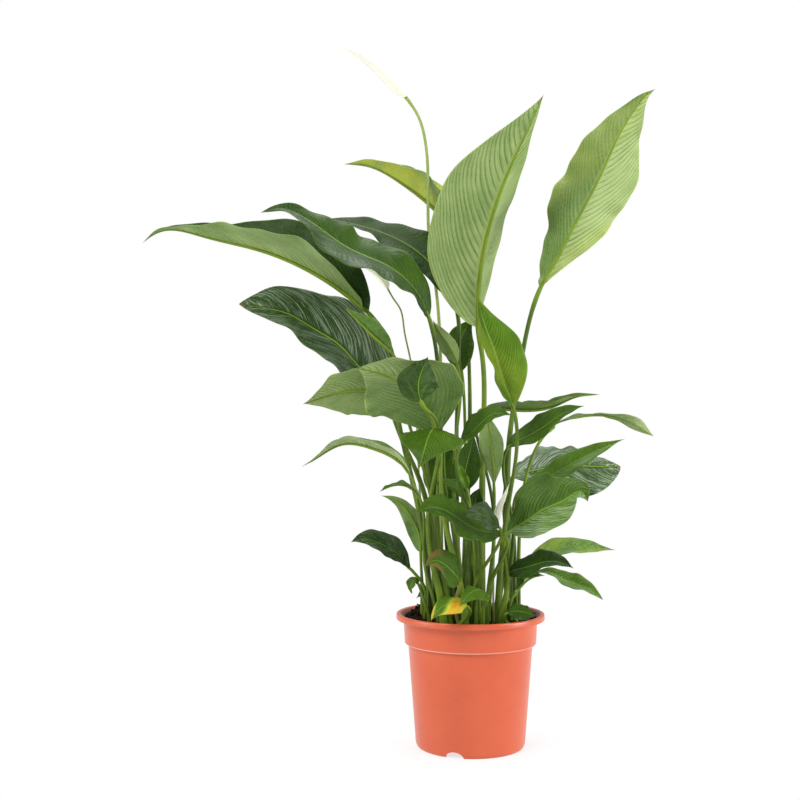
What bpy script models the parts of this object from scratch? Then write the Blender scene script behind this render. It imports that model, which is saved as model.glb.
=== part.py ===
"""Potted peace lily: a plastic nursery pot, its soil, 44 leaves on their stalks and three flowers.

The origin is the middle of the pot's base, +Z is up and -Y is the front. All sizes are in metres,
except that the plans of leaves and flowers are written in millimetres and scaled by MM.
"""

import math
from collections import namedtuple

import bmesh
import bpy
import numpy as np

MM = 0.001
UP = np.array([0.0, 0.0, 1.0])

# Driving dimensions of the pot
POT_HEIGHT = 0.152
RIM_RADIUS = 0.085
BASE_RADIUS = 0.06225
BODY_TOP_RADIUS = 0.071
COLLAR_HEIGHT = 0.034
COLLAR_RADIUS = 0.0765
COLLAR_FOOT_RADIUS = 0.0752
LIP_HEIGHT = 0.007
WALL = 0.0016
FLOOR_UNDERSIDE = 0.008
FLOOR_THICKNESS = 0.002
PAD_RADIUS = 0.014
NOTCH_COUNT = 3
NOTCH_WIDTH = 0.021
NOTCH_FIRST_ANGLE = math.radians(-110)
DRAIN_RADIUS = 0.004
DRAIN_RING_RADIUS = 0.045
TURN_STEPS = 48

# Clearance that touching pieces keep, and the level of the soil
GAP = 0.0003
SOIL_LEVEL = 0.143

# Leaves and stalks
STALK_RADIUS = 0.0023
STALK_RADIUS_PER_WIDTH = 0.018
MIDRIB_TIP_RADIUS = 0.0005
BLADE_THICKNESS = 0.001
EDGE_AT_TIP = 0.0009
STALK_STATION_SPACING = 0.038
BLADE_STATIONS = 12
TIP_POWER = 1.25

# Flowers
SCAPE_RADIUS = 0.0021
SPADIX_RADIUS = 0.0026
SPADIX_SHARE = 0.62

GREEN = ("leaf green", (0.10, 0.24, 0.04), 0.35)
DARK = ("leaf deep green", (0.03, 0.10, 0.02), 0.3)
PALE = ("leaf underside", (0.30, 0.42, 0.18), 0.5)
LIME = ("leaf lime", (0.36, 0.46, 0.08), 0.45)
BROWN = ("leaf with a dry edge", (0.16, 0.16, 0.06), 0.6)
YELLOW = ("leaf yellowing", (0.40, 0.34, 0.03), 0.5)
STEM = ("flower stalk", (0.36, 0.48, 0.12), 0.45)
CREAM = ("spathe cream", (0.86, 0.84, 0.66), 0.5)
SPADIX = ("spadix cream", (0.80, 0.78, 0.50), 0.6)
TERRACOTTA = ("pot terracotta plastic", (0.73, 0.15, 0.07), 0.42)
PEAT = ("soil peat", (0.02, 0.008, 0.005), 0.95)

# One leaf. root is where its stalk leaves the soil (x, y); stalk and blade are the points that its
# midrib passes, the blade's from its base to its tip; half_width is the blade's widest half and
# belly how far along the blade that lies; face lists the directions that its upper side looks in,
# spaced evenly from base to tip, and fold the angles in degrees that its halves rise from flat, one
# for both or a pair for the left and the right half, seen from above with the tip ahead.
LeafPlan = namedtuple("LeafPlan", "name finish root stalk blade half_width belly face fold")

LEAVES = (
    LeafPlan("leaf_tall_centre", PALE, (12, -8), [(15, -6, 373), (13, -9, 447)],
             [(8, -12, 478), (9, -26, 542), (19, -44, 592), (38, -68, 646), (60, -96, 692),
              (71, -110, 716)],
             66, 0.40, [(-0.59, 0.81, 0.2)], [(42, 56), (36, 54), (14, 30)]),
    LeafPlan("leaf_tall_right", PALE, (44, -4), [(44, -10, 350), (58, -18, 447)],
             [(77, -30, 521), (97, -36, 558), (119, -44, 601), (144, -52, 650), (161, -60, 688),
              (179, -64, 716), (188, -66, 727), (198, -68, 734)],
             52, 0.42, [(0.05, 0.95, 0.3)], [(14, 78), (20, 54), (30, 30)]),
    LeafPlan("leaf_high_left", LIME, (-6, 30), [(2, 42, 397), (1, 64, 518)],
             [(-3, 74, 577), (-42, 90, 636), (-81, 98, 667), (-120, 102, 687), (-150, 104, 690)],
             32, 0.40, [(0, -0.1, 1)], [55, 62, 50]),
    LeafPlan("leaf_far_left", GREEN, (-46, -6), [(-67, -14, 305), (-85, -20, 396), (-90, -18, 450)],
             [(-116, -16, 494), (-165, -10, 534), (-243, 4, 570), (-308, 18, 587), (-365, 32, 594),
              (-384, 36, 582)],
             52, 0.45, [(0, -0.3, 1)], [(60, 44), (52, 44), (30, 30)]),
    LeafPlan("leaf_left_front", GREEN, (-22, -22), [(-35, -18, 350), (-39, -26, 443)],
             [(-48, -32, 487), (-65, -42, 519), (-93, -54, 542), (-135, -70, 559), (-178, -84, 587),
              (-212, -92, 599), (-230, -95, 594)],
             42, 0.42, [(0.1, -0.62, 0.78)], [(32, 28), (14, 14), (20, 20)]),
    LeafPlan("leaf_left_back", DARK, (-14, 12), [(-15, 14, 362), (-12, 20, 455)],
             [(-14, 24, 499), (-25, 32, 528), (-51, 44, 565), (-93, 58, 594), (-141, 70, 611),
              (-172, 78, 619)],
             38, 0.42, [(0.2, -0.55, 0.8)], [35, 15, 20]),
    LeafPlan("leaf_dark_left", DARK, (-40, 8), [(-58, 8, 304), (-83, 2, 362)],
             [(-101, -2, 405), (-130, -8, 436), (-150, -14, 458), (-177, -22, 475), (-205, -32, 491),
              (-234, -42, 498), (-259, -50, 501)],
             54, 0.30, [(0.35, -0.7, 0.6)], [30, 26, 20]),
    LeafPlan("leaf_slim_left", PALE, (-32, -24), [(-54, -48, 317), (-79, -66, 405)],
             [(-89, -70, 445), (-105, -76, 460), (-123, -82, 477), (-140, -88, 493)],
             19, 0.45, [(0.3, 0.5, 0.8)], [50, 48, 40]),
    LeafPlan("leaf_low_left_pale", PALE, (-30, 0), [(-44, -12, 282), (-58, -30, 362)],
             [(-72, -40, 393), (-103, -48, 404), (-136, -58, 405), (-163, -66, 398), (-186, -74, 390)],
             36, 0.40, [(0, 0.75, 0.6)], [10, 4, 10]),
    LeafPlan("leaf_centre_front", PALE, (-26, -38), [(-40, -48, 262)],
             [(-39, -64, 357), (-53, -84, 385), (-70, -104, 404), (-93, -124, 418), (-126, -140, 426)],
             58, 0.48, [(-0.15, 0.45, 0.9)], [14, 6, 10]),
    LeafPlan("leaf_centre_dark", DARK, (-8, -46), [(-35, -72, 286), (-38, -84, 351), (-45, -112, 376)],
             [(-59, -146, 391), (-62, -150, 407), (-58, -152, 423), (-52, -150, 437)],
             18, 0.42, [(-0.1, -1, 0.1)], [14, 12, 20]),
    LeafPlan("leaf_front_drooping", GREEN, (-32, -42), [(-50, -60, 263)],
             [(-39, -97, 353), (-44, -118, 364), (-51, -141, 356), (-56, -158, 342), (-61, -166, 324)],
             34, 0.40, [(0, 0.3, 1), (0, -0.8, 0.8), (-0.2, -1, 0.2)], [-8, -14, -10]),
    LeafPlan("leaf_thin_arch", PALE, (-48, -22), [(-51, -30, 216), (-61, -36, 283)],
             [(-68, -38, 310), (-82, -36, 328), (-109, -32, 341), (-145, -28, 346), (-178, -22, 328),
              (-192, -20, 320)],
             12, 0.42, [(0, -0.2, 1)], [(60, 40), (60, 40), (40, 40)]),
    LeafPlan("leaf_upright_green", GREEN, (30, -24), [(41, -40, 284)],
             [(44, -56, 386), (34, -62, 411), (22, -70, 447), (10, -76, 479), (3, -80, 506)],
             32, 0.42, [(0.3, -0.95, 0)], [(62, 30), (60, 30), (40, 20)]),
    LeafPlan("leaf_upright_dark", DARK, (4, 21), [(-4, 24, 326)],
             [(-8, 34, 430), (-10, 40, 456), (-5, 44, 478), (7, 46, 494)],
             24, 0.42, [(-0.2, -1, 0.3)], [10, 20, 10]),
    LeafPlan("leaf_thin_spear", PALE, (-10, -10), [(-17, -4, 350)],
             [(-15, 2, 437), (-25, 4, 459), (-35, 4, 474), (-43, 4, 488)],
             11, 0.40, [(-0.2, 0.8, 0.3)], [40, 30, 20]),
    LeafPlan("leaf_right_near", GREEN, (4, -44), [(-2, -62, 263)],
             [(-15, -100, 347), (2, -106, 366), (19, -112, 379), (37, -116, 377)],
             16, 0.42, [(-0.4, -0.6, 0.7)], [30, 20, 20]),
    LeafPlan("leaf_right_twist", DARK, (20, 20), [(22, 16, 303)],
             [(17, 14, 387), (41, 16, 387), (70, 14, 385), (96, 8, 389), (119, 0, 399), (147, -8, 402)],
             15, 0.40, [(0, -0.4, 1), (0, 0.1, 1), (0, -0.7, 0.6)], [30, 50, 20]),
    LeafPlan("leaf_right_slant", GREEN, (37, -16), [(47, -14, 259), (36, -22, 316)],
             [(41, -28, 342), (58, -36, 353), (80, -48, 366), (98, -60, 380), (120, -72, 388)],
             17, 0.40, [(-0.3, -0.7, 0.6)], [20, 20, 30]),
    LeafPlan("leaf_right_long", GREEN, (55, -6), [(58, -4, 270), (69, -6, 327)],
             [(86, -2, 357), (106, 6, 372), (134, 16, 379), (159, 24, 379), (192, 32, 369),
              (219, 38, 354)],
             15, 0.62, [(0, -0.05, 1), (0, -0.05, 1), (-0.4, 0.7, 0.7)], [10, 10, 24]),
    LeafPlan("leaf_right_striped", DARK, (34, 36), [(45, 46, 231)],
             [(53, 56, 304), (82, 68, 313), (114, 80, 318), (152, 92, 317), (192, 104, 316)],
             42, 0.55, [(0.1, -0.55, 0.85)], [(4, -8), (8, -20), (0, -24)]),
    LeafPlan("leaf_right_folded", GREEN, (50, 12), [(52, 14, 234)],
             [(59, 18, 292), (89, 28, 305), (120, 36, 321), (152, 44, 337), (187, 50, 351)],
             17, 0.45, [(-0.2, -0.5, 0.8)], [(50, 0), (52, 0), (40, 10)]),
    LeafPlan("leaf_right_front", GREEN, (30, -46), [(38, -54, 196)],
             [(36, -64, 248), (54, -78, 262), (73, -94, 277), (95, -110, 289), (110, -120, 297),
              (116, -122, 287)],
             38, 0.50, [(-0.25, -0.85, 0.5)], [(25, 30), (25, 30), (20, 20)]),
    LeafPlan("leaf_left_low_front", GREEN, (16, -46), [(20, -60, 197)],
             [(17, -78, 247), (-10, -93, 261), (-38, -105, 279), (-55, -111, 283), (-69, -113, 275)],
             26, 0.50, [(0.1, -0.6, 0.9)], [12, 10, 20]),
    LeafPlan("leaf_small_dark_front", DARK, (0, -36), [(4, -54, 196)],
             [(8, -104, 255), (2, -116, 266), (-5, -126, 272), (-15, -132, 268)],
             14, 0.50, [(0, -0.5, 1)], [10, 10, 10]),
    LeafPlan("leaf_low_left_dark", DARK, (-52, -10), [(-54, -20, 186)],
             [(-68, -24, 204), (-83, -30, 222), (-103, -40, 235), (-125, -50, 241), (-135, -56, 238)],
             17, 0.48, [(0.2, -0.75, 0.7)], [30, 20, 20]),
    LeafPlan("leaf_slim_upright_left", PALE, (-54, 6), [(-55, 6, 177)],
             [(-57, 4, 221), (-59, 2, 241), (-67, 0, 260), (-76, 0, 273), (-90, 0, 283), (-103, 2, 286)],
             12, 0.32, [(-0.2, 1, 0.1)], [30, 24, 20]),
    LeafPlan("leaf_thin_left", GREEN, (-38, -34), [(-54, -50, 218)],
             [(-59, -60, 287), (-68, -66, 299), (-81, -72, 303), (-94, -78, 300), (-103, -82, 295)],
             8, 0.45, [(0, -0.15, 1)], [30, 20, 10]),
    LeafPlan("leaf_dry_edge", BROWN, (-14, -41), [(-20, -50, 171)],
             [(-15, -62, 193), (-23, -74, 207), (-34, -86, 218), (-45, -96, 222), (-54, -102, 217)],
             19, 0.50, [(0.4, -0.6, 0.7), (0.2, -0.8, 0.6)], [-8, -10, 8]),
    LeafPlan("leaf_yellowing", YELLOW, (-16, -54), [(-13, -68, 163)],
             [(-11, -80, 171), (-22, -90, 175), (-32, -100, 172), (-41, -106, 160)],
             17, 0.50, [(0, -0.7, 0.7)], [-6, -10, -6]),
    LeafPlan("leaf_low_triangle", GREEN, (10, -56), [(11, -65, 168)],
             [(15, -76, 181), (5, -88, 190), (-7, -100, 187), (-18, -106, 175)],
             15, 0.35, [(0.3, -0.3, 0.9), (-0.1, -0.6, 0.8)], [-6, -14, -6]),
    LeafPlan("leaf_low_right_dark", DARK, (44, -28), [(40, -38, 172)],
             [(39, -44, 202), (54, -54, 209), (72, -66, 216), (90, -78, 219), (106, -88, 213)],
             20, 0.38, [(-0.1, -0.6, 0.8)], [12, 14, 30]),
    LeafPlan("leaf_low_right_pale", PALE, (56, 18), [(55, 22, 175)],
             [(67, 26, 202), (90, 34, 217), (118, 42, 224), (148, 48, 222), (177, 54, 218)],
             16, 0.42, [(-0.1, -0.1, 1)], [30, 28, 20]),
    LeafPlan("leaf_low_right_drooping", GREEN, (58, -14), [(51, -16, 169)],
             [(69, -18, 199), (87, -22, 201), (108, -28, 192), (130, -34, 184), (146, -40, 172)],
             10, 0.55, [(0.1, -0.4, 1)], [40, 45, 40]),
    LeafPlan("leaf_low_right_slim", PALE, (52, -42), [(41, -46, 162)],
             [(45, -50, 178), (55, -54, 193), (68, -58, 201), (78, -62, 202)],
             8, 0.45, [(-0.7, -0.3, 0.7), (0, -0.2, 1)], [30, 30, 30]),
    LeafPlan("leaf_on_soil_right", DARK, (42, -54), [(34, -57, 155)],
             [(36, -60, 160), (45, -62, 163), (55, -63, 162), (68, -63, 158)],
             15, 0.50, [(-0.1, -0.7, 0.7)], [4, 6, 4]),
    LeafPlan("leaf_rim_left", DARK, (-28, 24), [(-34, 22, 156)],
             [(-34, 22, 167), (-41, 22, 174), (-52, 22, 172), (-62, 22, 165)],
             9, 0.45, [(0.7, -0.4, 0.7), (0, -0.4, 1)], [30, 20, 20]),
    LeafPlan("leaf_small_drooping", PALE, (-46, -34), [(-54, -39, 171)],
             [(-60, -43, 190), (-64, -45, 195), (-68, -46, 191), (-67, -47, 180)],
             6, 0.45, [(0.5, -0.5, 0.7), (-0.8, -0.5, 0.3)], [20, 20, 20]),
    LeafPlan("leaf_upright_pale", PALE, (18, -26), [(25, -28, 238)],
             [(25, -30, 296), (24, -32, 323), (20, -34, 353), (15, -36, 382)],
             19, 0.55, [(0.2, 1, 0)], [10, 16, 10]),
    LeafPlan("leaf_middle_broad", GREEN, (-4, -20), [(-6, -22, 215)],
             [(-10, -26, 289), (-8, -30, 312), (-3, -34, 335), (2, -38, 357)],
             20, 0.42, [(0.1, -1, 0.1)], [20, 20, 20]),
    LeafPlan("leaf_middle_arc", GREEN, (-14, -30), [(-7, -38, 216)],
             [(-8, -50, 284), (-17, -54, 295), (-30, -58, 303), (-43, -60, 302)],
             10, 0.45, [(0, -0.6, 0.8)], [20, 20, 20]),
    LeafPlan("leaf_middle_dark", DARK, (-2, 8), [(4, 0, 212)],
             [(4, -8, 259), (4, -12, 273), (6, -14, 285), (10, -14, 296)],
             11, 0.45, [(0, -1, 0.1)], [20, 20, 20]),
    LeafPlan("leaf_young_spear", LIME, (8, -32), [(0, -38, 239)],
             [(-6, -42, 295), (-11, -44, 311), (-16, -46, 326)],
             6, 0.40, [(0, -1, 0)], [30, 30, 30]),
    LeafPlan("leaf_middle_back", GREEN, (-12, 50), [(-16, 56, 230)],
             [(-22, 60, 270), (-26, 60, 301), (-27, 60, 331), (-23, 58, 359)],
             30, 0.45, [(0.1, -1, 0.1)], [14, 14, 14]),
)

# One flower: the points of its stalk, then those of its spathe from base to tip, the spathe's half
# width, the direction that it opens in and the angle that its halves rise.
FlowerPlan = namedtuple("FlowerPlan", "number stalk spathe half_width face fold")

FLOWERS = (
    FlowerPlan(1, [(-31, 32, 143), (-32, 38, 279), (-32, 62, 445), (-37, 70, 530), (-46, 73, 602),
                   (-47, 68, 670), (-51, 62, 712), (-60, 56, 739), (-74, 50, 758)],
               [(-74, 50, 758), (-89, 48, 774), (-106, 46, 790), (-125, 42, 804), (-152, 38, 815)],
               9, (0.3, 0.9, 0.3), [38]),
    FlowerPlan(2, [(-46, 38, 143), (-59, 50, 326), (-70, 46, 453), (-76, 44, 482), (-81, 42, 506),
                   (-88, 40, 516), (-95, 38, 528)],
               [(-95, 38, 528), (-103, 36, 539), (-114, 34, 549), (-124, 30, 555), (-136, 26, 562)],
               6, (0.5, 0.8, 0.4), [42]),
    FlowerPlan(3, [(24, -36, 143), (23, -52, 218), (24, -62, 252)],
               [(24, -62, 252), (25, -68, 271), (31, -71, 286), (38, -73, 303)],
               5, (0.3, 1, 0.1), [50]),
)


def metres(points):
    """Plan points in millimetres as rows in metres."""
    return np.array(points, dtype=float) * MM


def unit(vector):
    """The vector at length one."""
    return vector / np.linalg.norm(vector)


def clear_scene():
    """Removes every object that the file opened with."""
    for old in list(bpy.data.objects):
        bpy.data.objects.remove(old, do_unlink=True)


def new_collection(name):
    """A collection of that name under the scene's own."""
    collection = bpy.data.collections.new(name)
    bpy.context.scene.collection.children.link(collection)
    return collection


def material(finish):
    """The finish's Principled material, made once."""
    name, colour, roughness = finish
    known = bpy.data.materials.get(name)
    if known:
        return known
    made = bpy.data.materials.new(name)
    made.use_nodes = True
    shader = made.node_tree.nodes["Principled BSDF"]
    shader.inputs["Base Color"].default_value = (*colour, 1.0)
    shader.inputs["Roughness"].default_value = roughness
    shader.inputs["Metallic"].default_value = 0.0
    return made


def mesh_object(name, vertices, faces, finish, collection):
    """One smooth-shaded mesh object with its finish, its faces turned outwards."""
    mesh = bpy.data.meshes.new(name)
    mesh.from_pydata([tuple(vertex) for vertex in vertices], [], faces)
    shape = bmesh.new()
    shape.from_mesh(mesh)
    bmesh.ops.recalc_face_normals(shape, faces=shape.faces)
    shape.to_mesh(mesh)
    shape.free()
    mesh.shade_smooth()
    made = bpy.data.objects.new(name, mesh)
    made.data.materials.append(material(finish))
    collection.objects.link(made)
    return made


def turned_object(name, profile, finish, collection):
    """A profile of (radius, height) pairs at +X turned about Z."""
    mesh = bpy.data.meshes.new(name)
    edges = [(index, index + 1) for index in range(len(profile) - 1)]
    mesh.from_pydata([(radius, 0.0, height) for radius, height in profile], edges, [])
    made = bpy.data.objects.new(name, mesh)
    made.data.materials.append(material(finish))
    collection.objects.link(made)
    turn = made.modifiers.new("turn", "SCREW")
    turn.steps = TURN_STEPS
    turn.render_steps = TURN_STEPS
    turn.use_merge_vertices = True
    turn.merge_threshold = 0.0001
    return made


def spline(points, start, count):
    """A smooth curve through points from point number start on, by natural cubic pieces.

    It is sampled at count places spaced evenly by length, from that point to the last one.
    """
    steps = np.linalg.norm(np.diff(points, axis=0), axis=1)
    knots = np.concatenate([[0.0], np.cumsum(steps)])
    size = len(points)
    matrix = np.zeros((size, size))
    right = np.zeros((size, 3))
    matrix[0, 0] = matrix[-1, -1] = 1.0
    for index in range(1, size - 1):
        before, after = steps[index - 1], steps[index]
        matrix[index, index - 1:index + 2] = before, 2 * (before + after), after
        rise = (points[index + 1] - points[index]) / after - (points[index] - points[index - 1]) / before
        right[index] = 6 * rise
    bend = np.linalg.solve(matrix, right)
    places = np.linspace(knots[start], knots[-1], count)
    piece = np.clip(np.searchsorted(knots, places, side="right") - 1, 0, size - 2)
    length = steps[piece][:, None]
    ahead = (knots[piece + 1] - places)[:, None]
    behind = (places - knots[piece])[:, None]
    return (
        bend[piece] * ahead**3 / (6 * length)
        + bend[piece + 1] * behind**3 / (6 * length)
        + (points[piece] / length - bend[piece] * length / 6) * ahead
        + (points[piece + 1] / length - bend[piece + 1] * length / 6) * behind
    )


def along(values, share):
    """The value at that share of the way along a list of evenly spaced values."""
    table = np.array(values, dtype=float)
    if len(table) == 1:
        return table[0]
    place = min(max(share, 0.0), 1.0) * (len(table) - 1)
    index = min(int(place), len(table) - 2)
    part = place - index
    return table[index] * (1 - part) + table[index + 1] * part


def blade_width(share, half_width, belly):
    """Half the blade's width at that share of its length, widest at belly, with a drawn-out tip."""
    if share <= 0.0 or share >= 1.0:
        return 0.0
    power = TIP_POWER * belly / (1 - belly)
    return half_width * (share / belly) ** power * ((1 - share) / (1 - belly)) ** TIP_POWER


def section(centre, normal, side, width, radius, fold):
    """Eight points round one station: a round stalk where width is radius, else a folded blade."""
    flatness = min(max((width / radius - 1.0) / 1.5, 0.0), 1.0)
    left_bend, right_bend = np.radians(np.broadcast_to(fold, 2)) * flatness
    left = -math.cos(left_bend) * side + math.sin(left_bend) * normal
    right = math.cos(right_bend) * side + math.sin(right_bend) * normal
    left_up = math.sin(left_bend) * side + math.cos(left_bend) * normal
    right_up = -math.sin(right_bend) * side + math.cos(right_bend) * normal
    reach = width * (0.707 * (1 - flatness) + 0.5 * flatness)
    rise = 0.707 * radius * (1 - flatness) + min(BLADE_THICKNESS / 2, radius) * flatness
    top = radius * (1 - 0.6 * flatness)
    return [
        centre + width * left,
        centre + reach * left + rise * left_up,
        centre + top * normal,
        centre + reach * right + rise * right_up,
        centre + width * right,
        centre + reach * right - rise * right_up,
        centre - radius * normal,
        centre + reach * left - rise * left_up,
    ]


def loft(sections):
    """Vertices and faces of a closed skin over rings of eight points, with an end face at each end.

    The triangles of the upper side and those of the underside are split along the same lines, so that
    a thin blade's two sides stay parallel where it twists.
    """
    vertices = [point for ring in sections for point in ring]
    faces = []
    for row in range(len(sections) - 1):
        for column in range(8):
            following = (column + 1) % 8
            here, beside = row * 8 + column, row * 8 + following
            above, across = here + 8, beside + 8
            if column < 4:
                faces += [(here, beside, across), (here, across, above)]
            else:
                faces += [(here, beside, above), (beside, across, above)]
    last = (len(sections) - 1) * 8
    faces.append(tuple(range(8)))
    faces.append(tuple(range(last + 7, last - 1, -1)))
    return vertices, faces


def tangents(points):
    """The unit direction of the curve at each of its points."""
    return np.array([unit(step) for step in np.gradient(points, axis=0)])


def folded_blade(stalk_points, blade_points, half_width, belly, face, fold, radius):
    """Sections of a stalk that runs into a folded blade."""
    sections = []
    centres = np.concatenate([stalk_points, blade_points[1:]]) if len(stalk_points) else blade_points
    directions = tangents(centres)
    if len(stalk_points):
        directions[0] = UP
    first_blade = max(len(stalk_points) - 1, 0)
    base_side = unit(np.cross(directions[first_blade], unit(along(face, 0.0))))
    for index, (centre, direction) in enumerate(zip(centres, directions)):
        share = (index - first_blade) / (len(centres) - 1 - first_blade)
        taper = max(share, 0.0)
        if share > 0.0:
            side = unit(np.cross(direction, unit(along(face, share))))
        else:
            side = unit(base_side - np.dot(base_side, direction) * direction)
        normal = np.cross(side, direction)
        rib = radius * (1 - taper) + MIDRIB_TIP_RADIUS * taper
        edge = max(rib * 1.02, EDGE_AT_TIP)
        width = max(blade_width(share, half_width, belly), edge)
        sections.append(section(centre, normal, side, width, rib, along(fold, share)))
    return sections


def build_leaf(plan, collection):
    """One leaf: stalk and blade in one closed piece."""
    root = np.array([plan.root[0] * MM, plan.root[1] * MM, SOIL_LEVEL + GAP])
    below = root - 0.01 * UP
    points = np.vstack([below, root, metres(plan.stalk), metres(plan.blade)])
    base = 2 + len(plan.stalk)
    half_width = plan.half_width * MM
    radius = STALK_RADIUS * 0.5 + STALK_RADIUS_PER_WIDTH * half_width
    whole = spline(points, 1, 400)
    split = int(np.argmin(np.linalg.norm(whole - points[base], axis=1)))
    stalk_length = np.linalg.norm(np.diff(whole[: split + 1], axis=0), axis=1).sum()
    stalk_count = max(3, round(stalk_length / STALK_STATION_SPACING))
    stalk = whole[np.linspace(0, split, stalk_count).round().astype(int)]
    blade = whole[np.linspace(split, 399, BLADE_STATIONS).round().astype(int)]
    rings = folded_blade(stalk, blade, half_width, plan.belly, plan.face, plan.fold, radius)
    vertices, faces = loft(rings)
    return mesh_object(plan.name, vertices, faces, plan.finish, collection)


def tube_object(name, points, radius, finish, collection):
    """A round stalk: a poly curve with a bevel and filled caps."""
    curve = bpy.data.curves.new(name, "CURVE")
    curve.dimensions = "3D"
    curve.bevel_depth = radius
    curve.bevel_resolution = 2
    curve.use_fill_caps = True
    line = curve.splines.new("POLY")
    line.points.add(len(points) - 1)
    for slot, point in zip(line.points, points):
        slot.co = (*point, 1.0)
    made = bpy.data.objects.new(name, curve)
    made.data.materials.append(material(finish))
    collection.objects.link(made)
    return made


def build_flower(plan, collection):
    """One flower: its stalk, its boat-shaped spathe and the spadix inside it."""
    stalk = metres(plan.stalk)
    stalk[0, 2] = SOIL_LEVEL + 3 * GAP
    route = spline(stalk, 0, 14 if plan.number < 3 else 6)
    route[-1] -= (SCAPE_RADIUS * 0.2 + GAP) * unit(route[-1] - route[-2])
    tube_object(f"flower_stem_{plan.number}", route, SCAPE_RADIUS, STEM, collection)

    spathe = spline(metres(plan.spathe), 0, BLADE_STATIONS)
    start = unit(spathe[1] - spathe[0])
    spathe[0] += GAP * start
    rings = folded_blade([], spathe, plan.half_width * MM, 0.45, [plan.face], plan.fold, 0.0011)
    vertices, faces = loft(rings)
    mesh_object(f"spathe_{plan.number}", vertices, faces, CREAM, collection)

    looks = unit(np.array(plan.face, dtype=float))
    side = unit(np.cross(start, looks))
    inward = np.cross(side, start)
    lift = SPADIX_RADIUS * 2.2
    inner = spathe[2: int(BLADE_STATIONS * SPADIX_SHARE) + 1] + lift * inward
    tube_object(f"spadix_{plan.number}", inner, SPADIX_RADIUS * min(1.0, plan.half_width / 9), SPADIX,
                collection)


def pot_profile():
    """The pot's (radius, height) outline, from the floor's middle, over the rim and back below."""
    floor_top = FLOOR_UNDERSIDE + FLOOR_THICKNESS
    collar_foot = POT_HEIGHT - COLLAR_HEIGHT
    lip_under = POT_HEIGHT - LIP_HEIGHT
    base_inside = BASE_RADIUS - WALL
    floor_radius = base_inside + 0.0009
    return [
        (0.0, floor_top),
        (floor_radius, floor_top),
        (BODY_TOP_RADIUS - WALL, collar_foot - 0.003),
        (COLLAR_FOOT_RADIUS - WALL, collar_foot + 0.001),
        (COLLAR_RADIUS - WALL, lip_under + 0.003),
        (RIM_RADIUS - 0.0042, POT_HEIGHT - 0.0005),
        (RIM_RADIUS - 0.003, POT_HEIGHT),
        (RIM_RADIUS - 0.001, POT_HEIGHT - 0.0004),
        (RIM_RADIUS, POT_HEIGHT - 0.002),
        (RIM_RADIUS - 0.0004, lip_under + 0.0012),
        (RIM_RADIUS - 0.0018, lip_under),
        (COLLAR_RADIUS, lip_under - 0.0006),
        (COLLAR_FOOT_RADIUS, collar_foot + 0.003),
        (COLLAR_FOOT_RADIUS - 0.0012, collar_foot + 0.0008),
        (BODY_TOP_RADIUS + 0.0008, collar_foot),
        (BODY_TOP_RADIUS, collar_foot - 0.002),
        (BASE_RADIUS + 0.0008, 0.006),
        (BASE_RADIUS, 0.003),
        (BASE_RADIUS - 0.001, 0.0008),
        (BASE_RADIUS - 0.0016, 0.0),
        (BASE_RADIUS - 0.0045, 0.0),
        (BASE_RADIUS - 0.0045, FLOOR_UNDERSIDE),
        (PAD_RADIUS, FLOOR_UNDERSIDE),
        (PAD_RADIUS - 0.001, 0.0),
        (0.0, 0.0),
    ]


def cylinder_cutter(name, radius, length, place, direction, cutters):
    """A round cutter with its axis in that direction, kept out of the part."""
    bpy.ops.mesh.primitive_cylinder_add(vertices=20, radius=radius, depth=length, location=place)
    made = bpy.context.active_object
    made.name = name
    made.rotation_euler = direction
    for holder in list(made.users_collection):
        holder.objects.unlink(made)
    cutters.objects.link(made)
    made.hide_render = True
    made.display_type = "WIRE"
    return made


def cut(target, cutter):
    """Takes the cutter out of the target."""
    boolean = target.modifiers.new(cutter.name, "BOOLEAN")
    boolean.operation = "DIFFERENCE"
    boolean.solver = "EXACT"
    boolean.object = cutter


def build_pot(collection, cutters):
    """The nursery pot: turned shell with arched notches in its foot and holes in its floor."""
    pot = turned_object("pot", pot_profile(), TERRACOTTA, collection)
    for number in range(NOTCH_COUNT):
        angle = NOTCH_FIRST_ANGLE + number * math.tau / NOTCH_COUNT
        reach = BASE_RADIUS - 0.0025
        notch = cylinder_cutter(
            f"notch_cutter_{number + 1}", 0.0072, 0.012,
            (reach * math.cos(angle), reach * math.sin(angle), 0.0),
            (math.pi / 2, 0.0, angle + math.pi / 2), cutters)
        notch.scale = (NOTCH_WIDTH / 2 / 0.0072, 1.0, 1.0)
        cut(pot, notch)
        hole_angle = angle + math.pi / NOTCH_COUNT
        hole = cylinder_cutter(
            f"drain_cutter_{number + 1}", DRAIN_RADIUS, 0.02,
            (DRAIN_RING_RADIUS * math.cos(hole_angle), DRAIN_RING_RADIUS * math.sin(hole_angle),
             FLOOR_UNDERSIDE),
            (0.0, 0.0, 0.0), cutters)
        cut(pot, hole)
    return pot


def build_soil(collection):
    """The root ball of peat that fills the pot to a little below its rim."""
    floor_top = FLOOR_UNDERSIDE + FLOOR_THICKNESS
    collar_foot = POT_HEIGHT - COLLAR_HEIGHT
    slope = (BODY_TOP_RADIUS - BASE_RADIUS) / (collar_foot - floor_top)
    clear = 2 * GAP
    profile = [
        (0.0, SOIL_LEVEL),
        (COLLAR_RADIUS - WALL - clear, SOIL_LEVEL),
        (COLLAR_FOOT_RADIUS - WALL - clear, collar_foot + 0.001),
        (BODY_TOP_RADIUS - WALL - clear, collar_foot - 0.003),
        (BASE_RADIUS - WALL + 0.0009 - clear + slope * clear, floor_top + GAP),
        (0.0, floor_top + GAP),
    ]
    return turned_object("soil", profile, PEAT, collection)


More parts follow.
